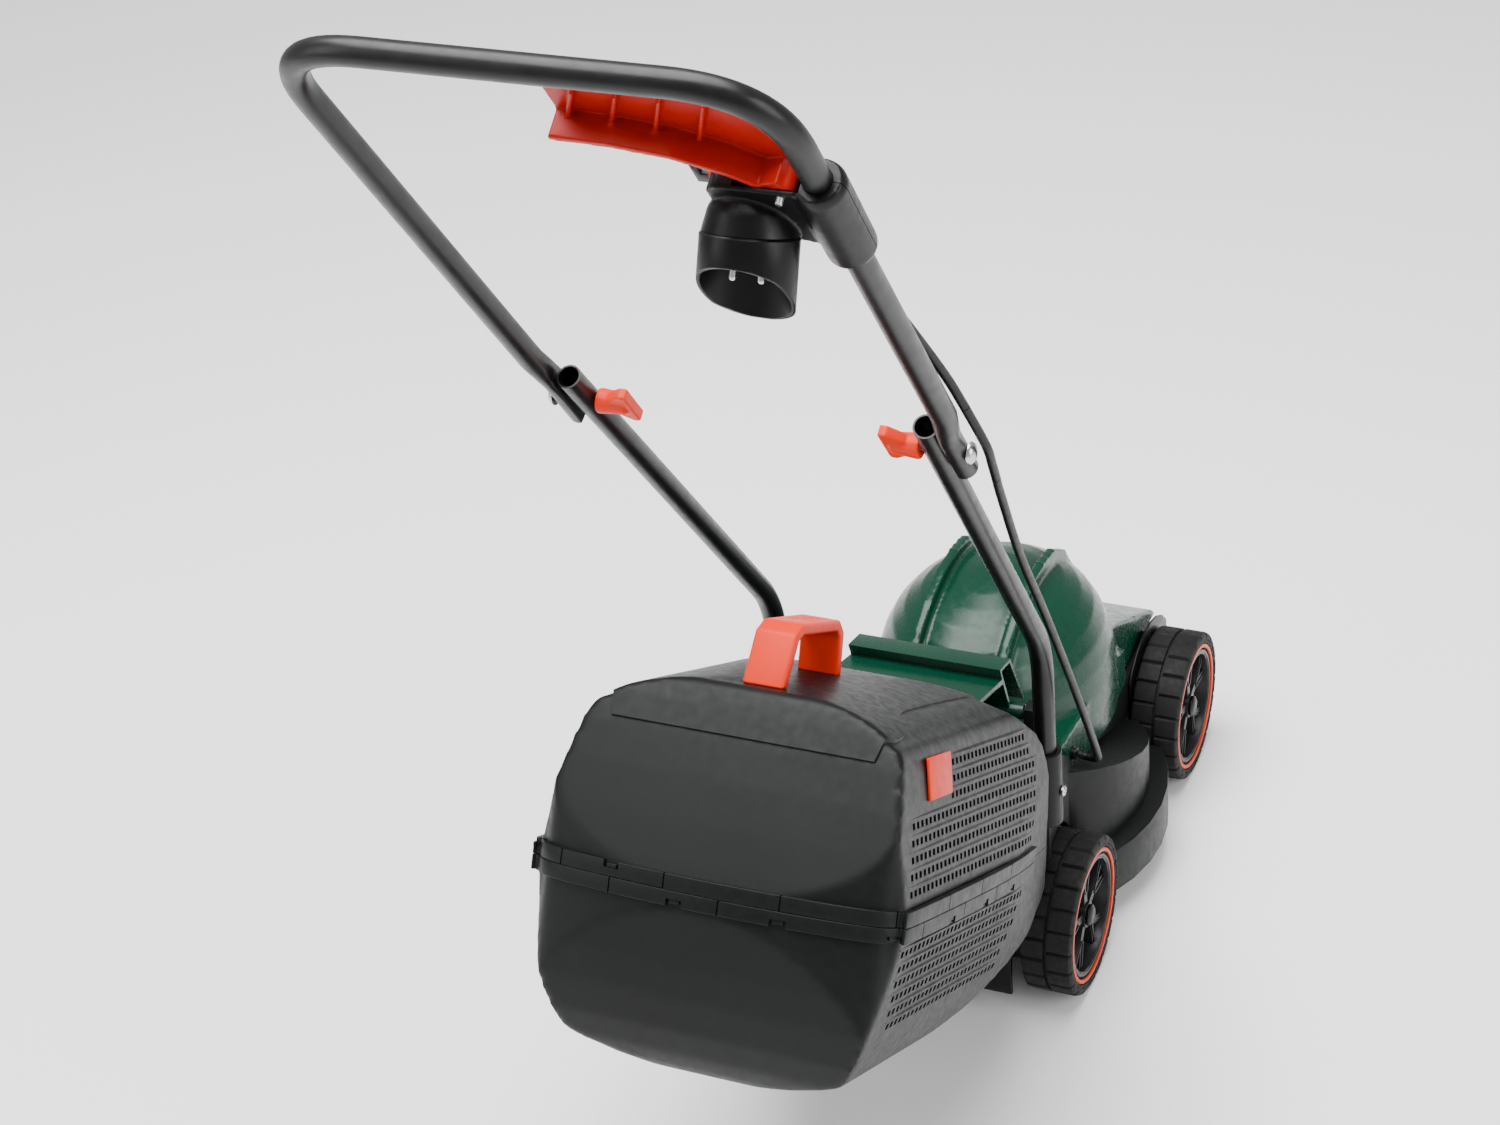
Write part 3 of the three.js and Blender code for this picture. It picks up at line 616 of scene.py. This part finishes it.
def hood():
    """The hood's skin, hollow, open below, and cut back from the wheels and from the flap's swing."""
    made = hood_form(0, HOOD_VOXEL)
    cut(made, from_object(hood_form(HOOD_WALL, HOLLOW_VOXEL)))
    cut_block(made, CHASSIS, (-130, 130), (-100, 420), (60, 142))
    for sign in (-1, 1):
        wells = bmesh.new()
        for y in (0, WHEELBASE):
            well = CHASSIS @ Matrix.Translation((0, y, WHEEL_R))
            add_lathe(wells, well, plug(WELL_R, *sided(sign, WELL_X, 200)), 48)
        cut(made, wells)
    pin = CHASSIS @ Matrix.Translation((0, FLAP_PIN.y / MM - REAR_AXLE.y / MM, FLAP_PIN.z / MM))
    cut_lathe(made, pin, plug(FLAP_SWEEP_R, -FLAP_SWEEP_X, FLAP_SWEEP_X), 48)
    made.name = "hood_skin"
    finish_piece(made, "deck", "green_plastic", 40)
    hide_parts("motor_hood")


hood()

VENT_SLOTS = 5
VENT_Y = 230
VENT_FIRST_Z = 218
VENT_PITCH = 7.5
VENT_SLANT = math.radians(-8)


def hood_vent(side):
    """The black louvre panel in the side of the dome, with slanted slots through it."""
    made = refined("hood_vent_" + side, 0, 0, 30)
    slots = bmesh.new()
    for row in range(VENT_SLOTS):
        z = VENT_FIRST_Z + row * VENT_PITCH
        slant = CHASSIS @ Matrix.Translation((0, VENT_Y, z)) @ Matrix.Rotation(VENT_SLANT, 4, "X")
        reach = 20 - row * 1.6
        add_block(slots, slant, sided(SIGN[side], 60, 130), (-reach, reach), (-1.7, 1.7))
    cut(made, slots)
    finish_piece(made, None, "black_plastic", 30)


hood_vent("right")
hood_vent("left")

# ---------------------------------------------------------------- discharge flap

refined("discharge_flap", 0.9, 3, 30)

# ---------------------------------------------------------------- tubes and fold joints

TUBE_R = 9.5
TUBE_WALL = 1.4
TUBE_SIDES = 32
LOWER_TUBE_X = 121
SOCKET_Y = -30
SOCKET_Z = 208
BEND_Z = 378
LOWER_TUBE_TOP = Vector((138, -308, 752))
SADDLE_FACE_X = 147.9


def rounded(corners, reach, steps=12):
    """The corners of a route, each rounded over a given length."""
    points = [corners[0]]
    for before, corner, after in zip(corners, corners[1:], corners[2:]):
        start = corner + (before - corner).normalized() * reach
        end = corner + (after - corner).normalized() * reach
        for step in range(steps + 1):
            t = step / steps
            points.append(start * (1 - t) ** 2 + corner * 2 * t * (1 - t) + end * t * t)
    return [*points, corners[-1]]


def tube(name, route):
    """An open steel tube along a route in metres."""
    made = round_bar(name, route, TUBE_R * MM, TUBE_SIDES, False)
    thick = made.modifiers.new("wall", "SOLIDIFY")
    thick.thickness = TUBE_WALL * MM
    thick.offset = -1
    return applied(made)


for side, sign in SIGN.items():
    corners = [
        Vector((LOWER_TUBE_TOP.x * sign, LOWER_TUBE_TOP.y, LOWER_TUBE_TOP.z)),
        Vector((LOWER_TUBE_X * sign, SOCKET_Y, BEND_Z)),
        Vector((LOWER_TUBE_X * sign, SOCKET_Y, SOCKET_Z))]
    route = [CHASSIS @ point for point in rounded(corners, 36)]
    node = "lower_tube_" + side
    made = tube(node + "_steel", route)
    finish_piece(made, "deck", "tube_paint", 50)
    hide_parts(node)


LEG_FOOT = Vector((158, 0, 62))
LEG_TOP = Vector((164, 0, 499))
PRESSED_TOP_Z = 64
PRESSED_RAMP = 26
PRESSED_INNER_X = 142.5
PRESSED_SHARE = 0.14


def upper_tube():
    """The U handle, with the end of each leg pressed flat against the lower tube."""
    leg = [Vector((152, 0, -28)), Vector((152, 0, -12)), Vector((152, 0, 8)), Vector((152, 0, 28))]
    flip = Matrix.Diagonal((-1, 1, 1))
    bend = rounded([LEG_FOOT, LEG_TOP, flip @ LEG_TOP, flip @ LEG_FOOT], 66, 16)
    knee = [leg[-1].lerp(LEG_FOOT, t) for t in (0.25, 0.5, 0.75)]
    route = [*leg, *knee, *bend, *[flip @ p for p in reversed(knee)], *[flip @ p for p in reversed(leg)]]
    made = tube("upper_handle_steel", [HANDLE @ point for point in route])
    back = HANDLE.inverted()
    for vertex in made.data.vertices:
        place = back @ vertex.co
        if place.z > PRESSED_TOP_Z:
            continue
        press = min(1.0, (PRESSED_TOP_Z - place.z) / PRESSED_RAMP)
        sign = 1 if place.x > 0 else -1
        reach = abs(place.x)
        face = SADDLE_FACE_X + (reach - PRESSED_INNER_X) * PRESSED_SHARE
        place.x = sign * (reach + (max(face, reach) - reach) * press)
        vertex.co = HANDLE @ place
    finish_piece(made, "upper_handle", "tube_paint", 50)
    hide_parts("upper_handle_tube")


upper_tube()


SCREW_HEIGHT = 0.231
SCREW_FACE_X = 138.5
SCREW_SECTION = [
    (0, 122), (2, 122), (2, 135.3), (4.7, 135.4), (4.6, 137), (3.4, 138.1), (0, SCREW_FACE_X)]
BOLT_SECTION = [
    (0, 113), (3, 113), (3, 161.7), (8.4, 161.8), (8.4, 162.6), (7.6, 164.4), (5.6, 165.9), (3, 166.8),
    (0, 167)]
RECESS_DEPTH = 1.4
RECESS_LONG = (-3.2, 3.2)
RECESS_WIDE = (-0.6, 0.6)


def tube_screw(side):
    """The screw that holds a lower tube, with a cross recess in its head."""
    screw = (Matrix.Translation((0, REAR_AXLE.y + SOCKET_Y * MM, SCREW_HEIGHT))
             @ turned_to(side) @ Matrix.Scale(MM, 4))
    built = bmesh.new()
    add_lathe(built, screw, SCREW_SECTION, 32)
    made = piece("pan_screw_" + side, built, "deck", "steel", 35, ("tube_screw_" + side,))
    recess = bmesh.new()
    depth = (SCREW_FACE_X - RECESS_DEPTH, SCREW_FACE_X + 2)
    add_block(recess, screw, depth, RECESS_LONG, RECESS_WIDE)
    add_block(recess, screw, depth, RECESS_WIDE, RECESS_LONG)
    cut(made, recess)
    finish_piece(made, None, "steel", 35)


def fold_bolt(side):
    """The domed bolt that a leg folds about."""
    built = bmesh.new()
    add_lathe(built, HANDLE @ turned_to(side), BOLT_SECTION, 40)
    piece("dome_bolt_" + side, built, BODY_OF["handle_bolt_" + side], "steel", 35, ("handle_bolt_" + side,))


for side in SIGN:
    tube_screw(side)
    fold_bolt(side)

# ---------------------------------------------------------------- switch box, inlet and lever

refined("cord_hook", 0.7, 3)
refined("lock_button", 1.0, 3)
INLET_TILT = math.radians(122.4)
INLET_AT = HANDLE @ Matrix.Translation((112, -19, 356)) @ Matrix.Rotation(INLET_TILT, 4, "X")
# the leg's middle line: how far it leans outwards, and its X at the fold's height
LEG_LEAN = math.atan2(LEG_TOP.x - LEG_FOOT.x, LEG_TOP.z - LEG_FOOT.z)
LEG_LINE_X = 157.15
LEG_BORE_R = 9.7
SLEEVE = [(0, 312), (14.5, 312), (16.5, 316), (17, 392), (15, 398), (0, 398)]
SWITCH_BODY = [(92, 352), (104, 340), (150, 338), (150, 398), (98, 398), (92, 392)]
INLET_NECK = [(0, -30), (19, -30), (27, -14), (30.5, 2), (0, 2)]
INLET_BORE_R = 31.4
SHROUD_SECTION = [(0, 0), (29.5, 0), (31, 1.5), (31, 58), (28.5, 58), (28.5, 3), (0, 3)]
SHROUD_RIM = [
    (-40, 58), (-30, 55), (-14, 47), (2, 36), (16, 26), (28, 20), (40, 16), (40, 78), (-40, 78)]
PIN_SECTION = [(0, 3.3), (2.4, 3.3), (2.4, 27.4), (2.1, 28.8), (1.3, 29.7), (0, 30)]
PIN_X = 9.5


def skinned(node, name, voxel, rounds):
    """A CAD node as one soft-edged moulded skin."""
    made = softened(piece(name, copied(node), BODY_OF[node], SLOT_OF[node], 60, (node,)), voxel, rounds)
    finish_piece(made, None, SLOT_OF[node], 60)
    return made


def switch_box(half, stay):
    """One half of the switch box: a sleeve round the leg, the body beside it and the inlet's neck."""
    built = bmesh.new()
    line = HANDLE @ Matrix.Translation((LEG_LINE_X, 0, 0)) @ Matrix.Rotation(LEG_LEAN, 4, "Y")
    add_prism(built, HANDLE, SWITCH_BODY, -12, 17, "xz")
    add_lathe(built, line, SLEEVE, 64, axis="z")
    add_lathe(built, INLET_AT, INLET_NECK, 64, axis="z")
    made = softened(piece("switch_box_" + half, built, None, "black_plastic", 40), 1.2, 8)
    cut_lathe(made, line, plug(LEG_BORE_R, 280, 430), 48, axis="z")
    cut_lathe(made, INLET_AT, plug(INLET_BORE_R, -0.2, 90), 64, axis="z")
    for x, y, z in (
            ((110, 153), (-9.5, 15.5), (374, 440)),  # the lever's slot
            ((80, 106), (3.6, 14.4), (357.6, 380.4)),  # the button's pocket
            ((60, 200), stay, (290, 420))):  # the other half
        cut_block(made, HANDLE, x, y, z)
    finish_piece(made, "upper_handle", "black_plastic", 40)
    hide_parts("switch_housing_" + half)


def inlet_shroud():
    """The hood round the inlet's pins, with its rim slanted away."""
    built = bmesh.new()
    add_lathe(built, INLET_AT, SHROUD_SECTION, 96, axis="z")
    made = piece("inlet_hood", built, "upper_handle", "black_plastic", 35, ("inlet_shroud",))
    slant = bmesh.new()
    add_prism(slant, INLET_AT, SHROUD_RIM, -40, 40)
    cut(made, slant)
    bevelled(made, 0.5, 2, 40)
    applied(made)
    finish_piece(made, None, "black_plastic", 35)


skinned("bail_lever", "bail_lever_skin", 0.9, 6)
for side in SIGN:
    skinned("knob_" + side, "cap_knob_" + side, 0.9, 14)
switch_box("front", (-40, 0.25))
switch_box("rear", (-0.25, 40))
inlet_shroud()
for side, sign in SIGN.items():
    built = bmesh.new()
    add_lathe(built, INLET_AT @ Matrix.Translation((sign * PIN_X, 0, 0)), PIN_SECTION, 24, axis="z")
    piece("round_pin_" + side, built, "upper_handle", "steel", 35, ("inlet_pin_" + side,))

# ---------------------------------------------------------------- motor cable

CABLE_R = 3.5
CABLE_STEPS = 10
UPPER_CABLE = [(140, 8, 333.7), (141, 9, 312), (145, 17, 240), (152, 20, 160), (161, 18, 90), (167, 13, 52)]
FLEX_CABLE = [
    (167.1, -306.8, 771.2), (171.5, -290, 740), (173, -280, 722), (171, -268, 704), (168.9, -255, 684.1)]
LOWER_CABLE = [
    (168.8, -254.7, 683.6), (166, -238, 658), (158, -180, 570), (152, -110, 470), (149, -50, 375),
    (146, 5, 285), (139, 56, 212), (130, 84, 183), (119, 92, 176.5), (110.5, 92, 178)]


def cable_line(places, at):
    return catmull([at @ Vector(place) for place in places], CABLE_STEPS)


upper = cable_line(UPPER_CABLE, HANDLE)
flex = cable_line(FLEX_CABLE, CHASSIS)
lower = cable_line(LOWER_CABLE, CHASSIS)
swept("cable_upper_sheath", upper, CABLE_R * MM, 20, "upper_handle", "cable", ("cable_upper",))
swept("cable_lower_sheath", lower, CABLE_R * MM, 20, "deck", "cable", ("cable_lower",))
bend = swept("cable_flex_sheath", flex, CABLE_R * MM, 20, None, "cable", ("cable_flex",))
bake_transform(bend)


GROMMET_SECTION = [
    (0, 101), (6.5, 101), (6.5, 103), (5.4, 103.4), (5.4, 104.2), (6.3, 104.6), (6.2, 105.6), (5.2, 106),
    (5.2, 106.8), (5.7, 107.2), (5.3, 108.6), (4.4, 109), (0, 109)]


def grommet():
    """A ribbed rubber sleeve where the cable enters the hood."""
    built = bmesh.new()
    entry = LOWER_CABLE[-1]
    add_lathe(built, CHASSIS @ Matrix.Translation((0, entry[1], entry[2])), GROMMET_SECTION, 36)
    piece("grommet_sleeve", built, "deck", "black_plastic", 35, ("cable_grommet",))


grommet()

# ---------------------------------------------------------------- grass box

BOX_SIDE = [
    (-132, 100), (-204, 231), (-219, 244), (-322, 282), (-400, 290), (-522, 289), (-552, 272), (-602, 141),
    (-602, 128), (-566, 10), (-500, -8), (-300, 22), (-237, 46)]
HALF_SECTION = [
    (0, -10), (50, -6), (104, 8), (120, 22), (135, 60), (148, 134), (148, 146), (129, 250), (113, 268),
    (92, 279), (55, 288), (0, 290)]
HALF_PLAN = [
    (0, -602), (70, -598), (124, -588), (142, -574), (149, -552), (149, -330), (138, -200), (126, -100),
    (0, -100)]
SEAM_Z = 141
SEAM_GAP = 0.2
BAND_HEIGHT = 12
BOX_WALL = 2.4
BOX_VOXEL = 3.0
BOX_ROUNDS = 6
# X, Y and Z well clear of the box's outlines
FORM_X = (-200, 200)
FORM_Y = (-700, 0)
FORM_Z = (-100, 400)
CLEAR_X = (-250, 250)


def both_halves(half):
    return [*half, *[(-a, b) for a, b in reversed(half) if a > 0]]


def inset_outline(outline, distance):
    """An outline moved inwards by the same distance all round."""
    points = [Vector(point) for point in outline]
    area = sum(a.x * b.y - b.x * a.y for a, b in zip(points, points[1:] + points[:1]))
    inward = distance if area > 0 else -distance
    moved = []
    for i, point in enumerate(points):
        before, after = points[i - 1], points[(i + 1) % len(points)]
        first = Vector((-(point - before).y, (point - before).x)).normalized()
        last = Vector((-(after - point).y, (after - point).x)).normalized()
        bisector = (first + last).normalized()
        moved.append(tuple(point + bisector * (inward / bisector.dot(first))))
    return moved


def across(outline, height):
    """Half the width of a mirrored outline of (across, along) points at one place along it."""
    for (a0, b0), (a1, b1) in zip(outline, outline[1:]):
        if min(b0, b1) <= height <= max(b0, b1) and b0 != b1:
            return a0 + (a1 - a0) * (height - b0) / (b1 - b0)
    return 0


def smooth_points(points, steps):
    return [(p.x, p.y) for p in catmull([Vector(point) for point in points], steps)]


def smooth_side(distance):
    """The box from the side: a flat mouth, and the rest as one smooth line."""
    outline = inset_outline(BOX_SIDE, distance)
    return [*outline[:2], *smooth_points(outline[2:-1], 5), outline[-1]]


def smooth_section(distance):
    outline = inset_outline(both_halves(HALF_SECTION), distance)
    return smooth_points([*outline, outline[0]], 4)[:-1]


def smooth_plan(distance):
    """The box from above, from its front right corner round the rear to its front left corner."""
    outline = inset_outline(both_halves(HALF_PLAN), distance)
    count = len(HALF_PLAN) - 1
    right = outline[:count]
    return smooth_points([*reversed(right), *mirrored(right[1:])], 5)


WALL_SECTION = [point for point in smooth_section(0) if point[0] >= 0]
WALL_PLAN = [point for point in smooth_plan(0) if point[0] >= 0]


def side_x(y, z):
    """The box's outer side face."""
    return min(across(WALL_SECTION, z), across(WALL_PLAN, y))


SLOT_PITCH = 9.6
SLOT_WIDTH = 5.2
SLOT_HEIGHT = 5.0
# each row's height, and its first and last places along the box
UPPER_ROWS = [
    (162, -556, -246), (174, -553, -244), (186, -550, -238), (198, -548, -236), (210, -545, -232),
    (222, -452, -236), (234, -446, -248), (246, -446, -262)]
LOWER_ROWS = [
    (118, -560, -262), (106, -557, -262), (94, -555, -266), (82, -551, -270), (70, -548, -276),
    (58, -540, -280)]


def slot_row(built, z, first, last):
    """Square vent slots through both side walls, in a row."""
    tall = (z - SLOT_HEIGHT / 2, z + SLOT_HEIGHT / 2)
    for i in range(int((last - first) / SLOT_PITCH) + 1):
        y = first + i * SLOT_PITCH
        x = side_x(y, z)
        for sign in (-1, 1):
            add_block(built, BOX, sided(sign, x - 6, x + 4), (y - SLOT_WIDTH / 2, y + SLOT_WIDTH / 2), tall)


RIB_STEPS = 24
RIB_PROUD = 1.3
RIB_ROOT = -1.2
RIB_HEIGHT = 4.4
RIB_ABOVE_ROW = 5.4


def louvre_rib(built, z, first, last):
    """A raised line along both side walls, fading out at its ends."""
    for sign in (-1, 1):
        rings = []
        for i in range(RIB_STEPS + 1):
            y = first + (last - first) * i / RIB_STEPS
            face = RIB_PROUD * min(1, i / 3, (RIB_STEPS - i) / 3)
            x = side_x(y, z)
            section = (
                (RIB_ROOT, -RIB_HEIGHT / 2), (face, -RIB_HEIGHT / 2 + 0.6), (face, 0.2),
                (RIB_ROOT, RIB_HEIGHT / 2))
            places = [Vector((sign * (x + out), y, z + up)) for out, up in section]
            rings.append([built.verts.new(BOX @ place) for place in places])
        join_rings(built, zip(rings, rings[1:]), 4)
        built.faces.new(rings[0])
        built.faces.new(list(reversed(rings[-1])))


BAND_PROUD = 4
BAND_FRONT_Y = -232
BAND_ROUTE = [Vector(point) for point in reversed(smooth_plan(-BAND_PROUD)) if point[0] <= 0]


def along_band(distance):
    """A place on the seam band this far round from the middle of the rear, and its outward direction."""
    sign = 1 if distance >= 0 else -1
    left = abs(distance)
    route = [Vector((-point.x, point.y)) for point in reversed(BAND_ROUTE)]
    for start, end in zip(route, route[1:]):
        length = (end - start).length
        if left <= length:
            place = start.lerp(end, left / length)
            along = (end - start).normalized()
            return Vector((place.x * sign, place.y)), Vector((along.y * sign, -along.x))
        left -= length
    raise ValueError("the seam band is shorter than that")


def band_block(built, distance, width, low, high, depth, lift=2):
    """A block into the seam band, square to it."""
    place, outward = along_band(distance)
    turn = math.atan2(outward.y, outward.x)
    at = BOX @ Matrix.Translation((place.x, place.y, 0)) @ Matrix.Rotation(turn, 4, "Z")
    add_block(built, at, (-depth, lift), (-width / 2, width / 2), (low, high))


UPPER_GAPS = (-400, -310, -215, -120, -30, 62, 150, 250, 330, 410)
LOWER_GAPS = (-430, -350, -262, -168, -75, 15, 195, 290, 372)
UPPER_CLIPS = (-350, -160, -75)
LOWER_CLIPS = (-300, -20, 62, 150, 262, 345, 420)


def outer_form(distance):
    """The box's whole outer form moved inwards, as one closed solid."""
    parts = []
    for plane, outline, low, high in (
            ("yz", smooth_side(distance), *FORM_X), ("xz", smooth_section(distance), *FORM_Y),
            ("xy", smooth_plan(distance), *FORM_Z)):
        built = bmesh.new()
        add_prism(built, BOX, outline, low, high, plane)
        parts.append(piece("form", built, None, "charcoal_plastic"))
    return common(common(parts[0], parts[1]), parts[2])


def shell(name, stands_for, away, rows, gaps, clips, band):
    """One half of the grass box, with its vent slots and its half of the seam band."""
    made = softened(outer_form(0), BOX_VOXEL, BOX_ROUNDS)
    cut(made, from_object(softened(outer_form(BOX_WALL), 4.5, 4)))
    cut_block(made, BOX, CLEAR_X, FORM_Y, away)
    upright = BOX @ Matrix.Rotation(BOX_TILT, 4, "X")
    cut_block(made, upright, (-104, 104), (-90, -50), (160, 250))
    slots = bmesh.new()
    for row in rows:
        slot_row(slots, *row)
    cut(made, slots)
    made.name = name
    finish_piece(made, "grass_box", "charcoal_plastic", 30)
    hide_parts(stands_for)
    seam_band(name + "_band", band, gaps, clips)


def seam_band(name, band, gaps, clips):
    """The proud band along one half's edge: grooves at the gaps, pockets with catches at the clips."""
    built = bmesh.new()
    add_prism(built, BOX, smooth_plan(-BAND_PROUD), *band, "xy")
    made = piece(name, built, None, "charcoal_plastic", 30)
    inner = bmesh.new()
    add_prism(inner, BOX, smooth_plan(1.2), band[0] - 5, band[1] + 5, "xy")
    cut(made, inner)
    cut_block(made, BOX, CLEAR_X, (BAND_FRONT_Y, 50), (band[0] - 5, band[1] + 5))
    bevelled(made, 0.7, 3, 40)
    applied(made)
    grooves = bmesh.new()
    for distance in gaps:
        band_block(grooves, distance, 1.2, band[0] - 2, band[1] + 2, 1.8)
    cut(made, grooves)
    away = 1 if band[0] > SEAM_Z else -1
    edge = SEAM_Z + 6.5 * away
    low, high = (edge, band[1] + 3) if away > 0 else (band[0] - 3, edge)
    pockets = bmesh.new()
    for distance in clips:
        band_block(pockets, distance, 13, low, high, 2.6)
    cut(made, pockets)
    finish_piece(made, "grass_box", "charcoal_plastic", 30)
    catches = bmesh.new()
    catch_z = (band[0] + band[1]) / 2 + 2 * away
    for distance in clips:
        band_block(catches, distance, 8.5, catch_z - 1.6, catch_z + 1.6, 2.9, -0.7)
    caught = piece(name + "_catches", catches, "grass_box", "charcoal_plastic", 30)
    bevelled(caught, 0.4)


def box_shells():
    lid_low, tub_high = SEAM_Z + SEAM_GAP, SEAM_Z - SEAM_GAP
    shell("box_lid", "box_upper", (FORM_Z[0], lid_low), UPPER_ROWS, UPPER_GAPS, UPPER_CLIPS,
          (lid_low, SEAM_Z + BAND_HEIGHT))
    shell("box_tub", "box_lower", (tub_high, FORM_Z[1]), LOWER_ROWS, LOWER_GAPS, LOWER_CLIPS,
          (SEAM_Z - BAND_HEIGHT, tub_high))
    ribs = bmesh.new()
    for z, first, last in UPPER_ROWS + LOWER_ROWS:
        louvre_rib(ribs, z + RIB_ABOVE_ROW, first - 8, last + 6)
    piece("box_louvre_ribs", ribs, "grass_box", "charcoal_plastic", 30)


PANEL_PROUD = 2.0
PANEL_DEPTH = 5
PANEL_Z = (255, 330)
HALF_PANEL = [
    (0, -596), (60, -590), (96, -574), (112, -548), (112, -520), (101, -498), (92, -470), (90, -430),
    (93, -330), (99, -250), (101, -226), (0, -226)]


def top_panel():
    """The raised middle of the lid, whose edge sweeps out to the rear corners."""
    made = softened(outer_form(-PANEL_PROUD), BOX_VOXEL, BOX_ROUNDS)
    cut(made, from_object(outer_form(PANEL_DEPTH)))
    built = bmesh.new()
    outline = both_halves(smooth_points(HALF_PANEL[:-1], 5) + [HALF_PANEL[-1]])
    add_prism(built, BOX, outline, *PANEL_Z, "xy")
    common(made, piece("keep", built, None, "charcoal_plastic"))
    made.name = "box_top_panel"
    finish_piece(made, "grass_box", "charcoal_plastic", 30)


box_shells()
top_panel()


GRIP_GROOVES = 5
GRIP_FIRST_Y = -428
GRIP_PITCH = 9
GRIP_TOP_Z = 338.6
GRIP_SLANT = math.radians(14)


def carry_handle():
    """The box's handle, with slanted grooves across its grip."""
    made = refined("carry_handle", 2.6, 4, 24)
    grooves = bmesh.new()
    for i in range(GRIP_GROOVES):
        y = GRIP_FIRST_Y - i * GRIP_PITCH
        at = BOX @ Matrix.Translation((0, y, GRIP_TOP_Z)) @ Matrix.Rotation(GRIP_SLANT, 4, "Z")
        add_block(grooves, at, (-11, 11), (-1.5, 1.5), (-3.4, 3))
    cut(made, grooves)
    finish_piece(made, None, "orange_plastic", 24)


carry_handle()
refined("side_plate", 0.8, 3)

# ---------------------------------------------------------------- materials for the CAD nodes themselves

for node, made in frame["nodes"].items():
    made.data.materials.clear()
    made.data.materials.append(SLOTS[SLOT_OF[node]])

# ---------------------------------------------------------------- studio

FLOOR_SIZE = 12
WORLD_STRENGTH = 0.55
AIM = (0, 0, 0.45)


def make_stage():
    built = bmesh.new()
    bmesh.ops.create_grid(built, x_segments=1, y_segments=1, size=FLOOR_SIZE)
    mesh = bpy.data.meshes.new("floor")
    built.to_mesh(mesh)
    built.free()
    floor = bpy.data.objects.new("floor", mesh)
    bpy.context.scene.collection.objects.link(floor)
    pale = bpy.data.materials.new("pale_floor")
    pale.use_nodes = True
    shader = pale.node_tree.nodes["Principled BSDF"]
    shader.inputs["Base Color"].default_value = (0.93, 0.93, 0.93, 1)
    shader.inputs["Roughness"].default_value = 0.9
    floor.data.materials.append(pale)


def make_light(name, place, size, power):
    """A rectangular softbox that looks at the middle of the mower."""
    data = bpy.data.lights.new(name, "AREA")
    data.shape = "RECTANGLE"
    data.size, data.size_y = size
    data.energy = power
    light = bpy.data.objects.new(name, data)
    light.location = place
    light.rotation_mode = "QUATERNION"
    light.rotation_quaternion = (Vector(AIM) - Vector(place)).to_track_quat("-Z", "Y")
    bpy.context.scene.collection.objects.link(light)


def make_world():
    world = bpy.data.worlds.new("studio")
    world.use_nodes = True
    background = world.node_tree.nodes["Background"]
    background.inputs["Color"].default_value = (1, 1, 1, 1)
    background.inputs["Strength"].default_value = WORLD_STRENGTH
    bpy.context.scene.world = world


make_stage()
make_world()
make_light("top_softbox", (-0.4, -0.2, 3.2), (2.6, 2.6), 260)
make_light("right_softbox", (3.0, -0.6, 1.8), (1.6, 2.2), 70)
make_light("left_softbox", (-2.4, -2.2, 1.9), (1.4, 2.2), 30)
